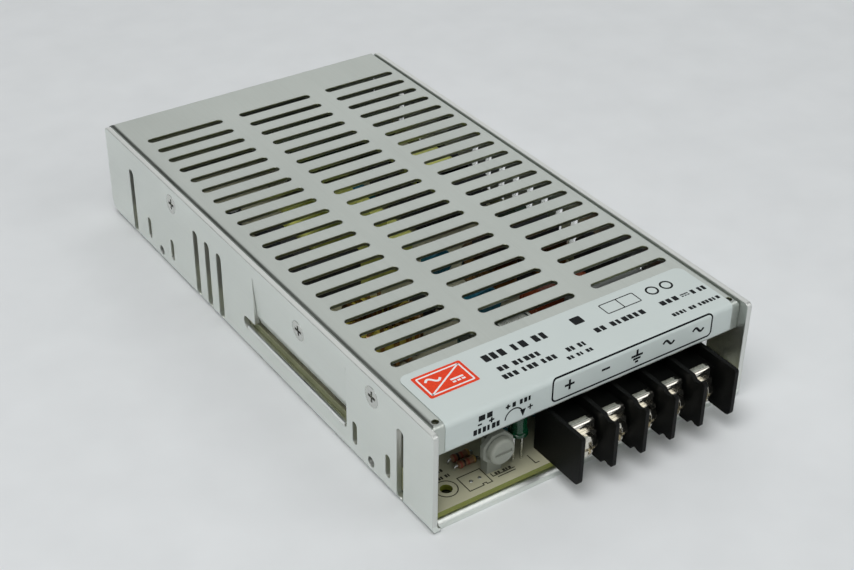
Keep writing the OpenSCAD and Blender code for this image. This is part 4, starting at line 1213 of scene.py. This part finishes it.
@dataclass
class Resistors:
    """Two axial resistors that lie side by side, each a dog-bone body with colour bands and bent leads."""

    board_z: float
    centres: tuple[Pair, ...] = ((-31.5, -77.9), (-31.5, -75.1))
    body_d: float = 1.8
    end_d: float = 2.1
    body_l: float = 5.4
    swell_w: float = 0.65
    round_l: float = 0.5
    facets: int = 36
    body_rows: int = 61
    bands: tuple[tuple[float, Finish], ...] = (
        (-2.0, BAND_RED), (-0.9, BAND_DARK), (0.15, BAND_RED), (2.0, BAND_GOLD),
    )
    band_along: tuple[float, ...] = (-0.28, -0.28, -0.16, 0.16, 0.28, 0.28)
    band_over: tuple[float, ...] = (-0.05, 0.02, 0.03, 0.03, 0.02, -0.05)
    lead_d: float = 0.6
    lead_x: float = 3.6
    lead_bend: float = 0.55
    bend_steps: int = 9
    lead_tuck: float = 0.3

    def radius(self, x: np.ndarray) -> np.ndarray:
        """Gives the dog-bone's radius: waist plus swell exp(-((|x| - c) / w)^2), closed round at the ends.

        Args:
            x: Places along the body, from its middle.

        Returns:
            The radius at each place.
        """
        from_end = np.abs(x) - self.body_l / 2
        bulge = np.exp(-(((from_end + self.swell_w) / self.swell_w) ** 2))
        rounding = np.clip((from_end + self.round_l) / self.round_l, 0, 1)
        close = np.sqrt(np.clip(1 - rounding**2, 0, 1))
        return (self.body_d / 2 + (self.end_d - self.body_d) / 2 * bulge) * close

    def lying(self, radius: np.ndarray, along: np.ndarray) -> Shape:
        """Turns a profile and lays it along X at each place on the board.

        Args:
            radius: The profile's radii.
            along: Its places along the body.

        Returns:
            One shape that holds them all.
        """
        turned = lathe(radius, along, self.facets)
        flat = Shape(turned.points[:, [2, 0, 1]], turned.quads)
        return join([flat.moved((*at, self.board_z + self.end_d / 2)) for at in self.centres])

    def build(self) -> None:
        """Makes the bodies, the bands just over them, and the leads."""
        x = np.linspace(-self.body_l / 2, self.body_l / 2, self.body_rows)
        bodies = self.lying(self.radius(x), x)
        made = piece("resistor_bodies", bodies, RESISTOR_COAT, Body.CASE)
        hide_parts("axial_resistors")
        for number, (middle, finish) in enumerate(self.bands, 1):
            along = middle + np.array(self.band_along)
            rings = self.lying(self.radius(along) + np.array(self.band_over), along)
            piece(f"resistor_band_{number}", rings, finish, Body.CASE)
        legs = join([self.leg(at, side) for at in self.centres for side in (-1, 1)])
        piece("resistor_leads", legs, TIN, Body.CASE)

    def leg(self, at: Pair, side: int) -> Shape:
        """Carries the wire out of the body's end, round a quarter bend and down to the board.

        Args:
            at: The resistor's place on the board.
            side: Minus one for the left end, one for the right.

        Returns:
            The wire's surface.
        """
        bend = self.lead_bend
        level = self.board_z + self.end_d / 2
        turn = arc((self.lead_x - bend, level - bend), bend, 90, 0, self.bend_steps)
        start = [[self.body_l / 2 - self.lead_tuck, level]]
        flat = np.concatenate([start, turn, [[self.lead_x, self.board_z]]])
        across = at[0] + side * flat[:, 0]
        path = np.stack([across, np.full(len(flat), at[1]), flat[:, 1]], axis=-1)
        return tube(path, self.lead_d, Y_AXIS)


# Studio


@dataclass
class PhotoCamera:
    """The photograph's pinhole camera, as fitted to the case's corners, vents and holes."""

    azimuth: float = -34.399
    elevation: float = 33.745
    roll: float = 0.6696
    place: Triple = (-205.223, -313.567, 254.154)
    focal_px: float = 1549.803
    width_px: float = 854.0
    sensor: float = 36.0
    clip_m: Pair = (0.01, 50.0)

    def build(self) -> None:
        """Makes the scene's camera from its angles, place and focal length."""
        a, e, r = (math.radians(x) for x in (self.azimuth, self.elevation, self.roll))
        back = Vector((math.sin(a) * math.cos(e), -math.cos(a) * math.cos(e), math.sin(e)))
        right = Vector((math.cos(a), math.sin(a), 0))
        up = back.cross(right)
        across = math.cos(r) * right + math.sin(r) * up
        upward = -math.sin(r) * right + math.cos(r) * up
        turn = Matrix((across, upward, back)).transposed().to_4x4()
        lens = bpy.data.cameras.new("photo_camera")
        lens.sensor_fit = "HORIZONTAL"
        lens.sensor_width = self.sensor
        lens.lens = self.focal_px * self.sensor / self.width_px
        lens.clip_start, lens.clip_end = self.clip_m
        made = bpy.data.objects.new("photo_camera", lens)
        made.matrix_world = Matrix.Translation(Vector(self.place) * MM) @ turn
        bpy.context.scene.collection.objects.link(made)
        bpy.context.scene.camera = made


@dataclass
class SoftLamp:
    """A square white soft box that looks at the middle of the part. Sizes are metres."""

    name: str
    place: Triple
    side: float
    watts: float

    def build(self) -> None:
        """Makes the lamp and turns it to the part."""
        light = bpy.data.lights.new(self.name, "AREA")
        light.size = self.side
        light.energy = self.watts
        made = bpy.data.objects.new(self.name, light)
        made.location = self.place
        made.rotation_euler = (-Vector(self.place)).to_track_quat("-Z", "Y").to_euler()
        bpy.context.scene.collection.objects.link(made)


@dataclass
class Studio:
    """A plain pale floor and low backdrop under three soft boxes, with a dark flag behind on the left.

    Sizes are metres. Each pair is where a layer of the room starts and where it is full, as a height
    or as a share of the way to the flag.
    """

    floor_side: float = 8.0
    floor_steps: int = 9
    floor_drop: float = 2e-5
    floor_hue: str = "#e4e6e7"
    low_hue: str = "#484c4e"
    high_hue: str = "#aeb1b2"
    high_from: Pair = (0.25, 0.9)
    flag_hue: str = "#08090a"
    flag_side: Triple = (-0.62, 0.7, 0.35)
    flag_from: Pair = (0.45, 0.75)
    backdrop_hue: str = "#cfd2d4"
    backdrop_from: Pair = (0.3, 0.17)
    strength: float = 1.0
    lamps: tuple[SoftLamp, ...] = (
        SoftLamp("key_box", (-0.45, -0.3, 1.05), 0.7, 7.4),
        SoftLamp("fill_box", (0.62, -0.85, 0.75), 0.7, 2.4),
        SoftLamp("rear_box", (0.56, 0.82, 0.67), 1.1, 2.5),
    )

    def build(self) -> None:
        """Sets the plain view transform, the room, the floor and the lamps."""
        bpy.context.scene.view_settings.view_transform = "Standard"
        self.room()
        self.floor()
        for lamp in self.lamps:
            lamp.build()

    def room(self) -> None:
        """Lights the world by height, hangs the flag in it, and lays the backdrop over its low part."""
        world = bpy.data.worlds.new("soft_room")
        world.use_nodes = True
        tree = world.node_tree
        tree.nodes.clear()
        way = add(tree, "ShaderNodeTexCoord").outputs["Generated"]
        height = add(tree, "ShaderNodeSeparateXYZ", {0: way}).outputs["Z"]
        toward = add(tree, "ShaderNodeVectorMath", {0: way, 1: self.flag_side}, operation="DOT_PRODUCT")
        layers = (
            (height, self.high_from, self.high_hue),
            (toward.outputs["Value"], self.flag_from, self.flag_hue),
            (height, self.backdrop_from, self.backdrop_hue),
        )
        hue = linear(self.low_hue)
        for value, (start, full), over in layers:
            span = {"Value": value, "From Min": start, "From Max": full}
            share = add(tree, "ShaderNodeMapRange", span)
            ends = {0: share.outputs[0], 6: hue, 7: linear(over)}
            hue = add(tree, "ShaderNodeMix", ends, data_type="RGBA").outputs[2]
        ground = add(tree, "ShaderNodeBackground", {"Color": hue, "Strength": self.strength})
        add(tree, "ShaderNodeOutputWorld", {"Surface": ground.outputs[0]})
        bpy.context.scene.world = world

    def floor(self) -> None:
        """Lays a level sheet just below the part: P(u, v) = (u, v, -drop)."""
        half = self.floor_side / 2
        line = np.linspace(-half, half, self.floor_steps)
        x, y = np.meshgrid(line, line, indexing="ij")
        sheet = grid(np.stack([x, y, np.full_like(x, -self.floor_drop)], axis=-1), wrap_columns=False)
        mesh = bpy.data.meshes.new("studio_floor")
        mesh.from_pydata(sheet.points.tolist(), [], sheet.quads.tolist())
        mesh.materials.append(PrintedFilm("pale studio paper", self.floor_hue, 0.8, 0.1).build())
        made = bpy.data.objects.new("studio_floor", mesh)
        bpy.context.scene.collection.objects.link(made)


def main() -> None:
    """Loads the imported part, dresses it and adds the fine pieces."""
    logging.basicConfig(level=logging.INFO, format="%(name)s %(message)s")
    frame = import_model()
    PhotoCamera().build()
    dress_nodes(frame["nodes"])
    film_low, film_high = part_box("label_film")
    board_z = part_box("circuit_board")[1].z / MM
    film_z = film_high.z / MM
    board_top = Face((0.0, 0.0, board_z), X_AXIS, Y_AXIS)
    label_top = Face((0.0, 0.0, film_z), X_AXIS, Y_AXIS)
    film_bend = {"bend_from": film_z - FILM_BEND_R, "bend_r": FILM_BEND_R}
    label_front = BentFace((0.0, film_low.y / MM, 0.0), X_AXIS, Z_AXIS, **film_bend)
    LabelPrint(label_top, label_front).build()
    BoardLegend(board_top).build()
    SLIT_LIP.build()
    FLOOR_LIP.build()
    Lamp(board_z).build()
    Resistors(board_z).build()
    Studio().build()


if __name__ == "__main__":
    main()
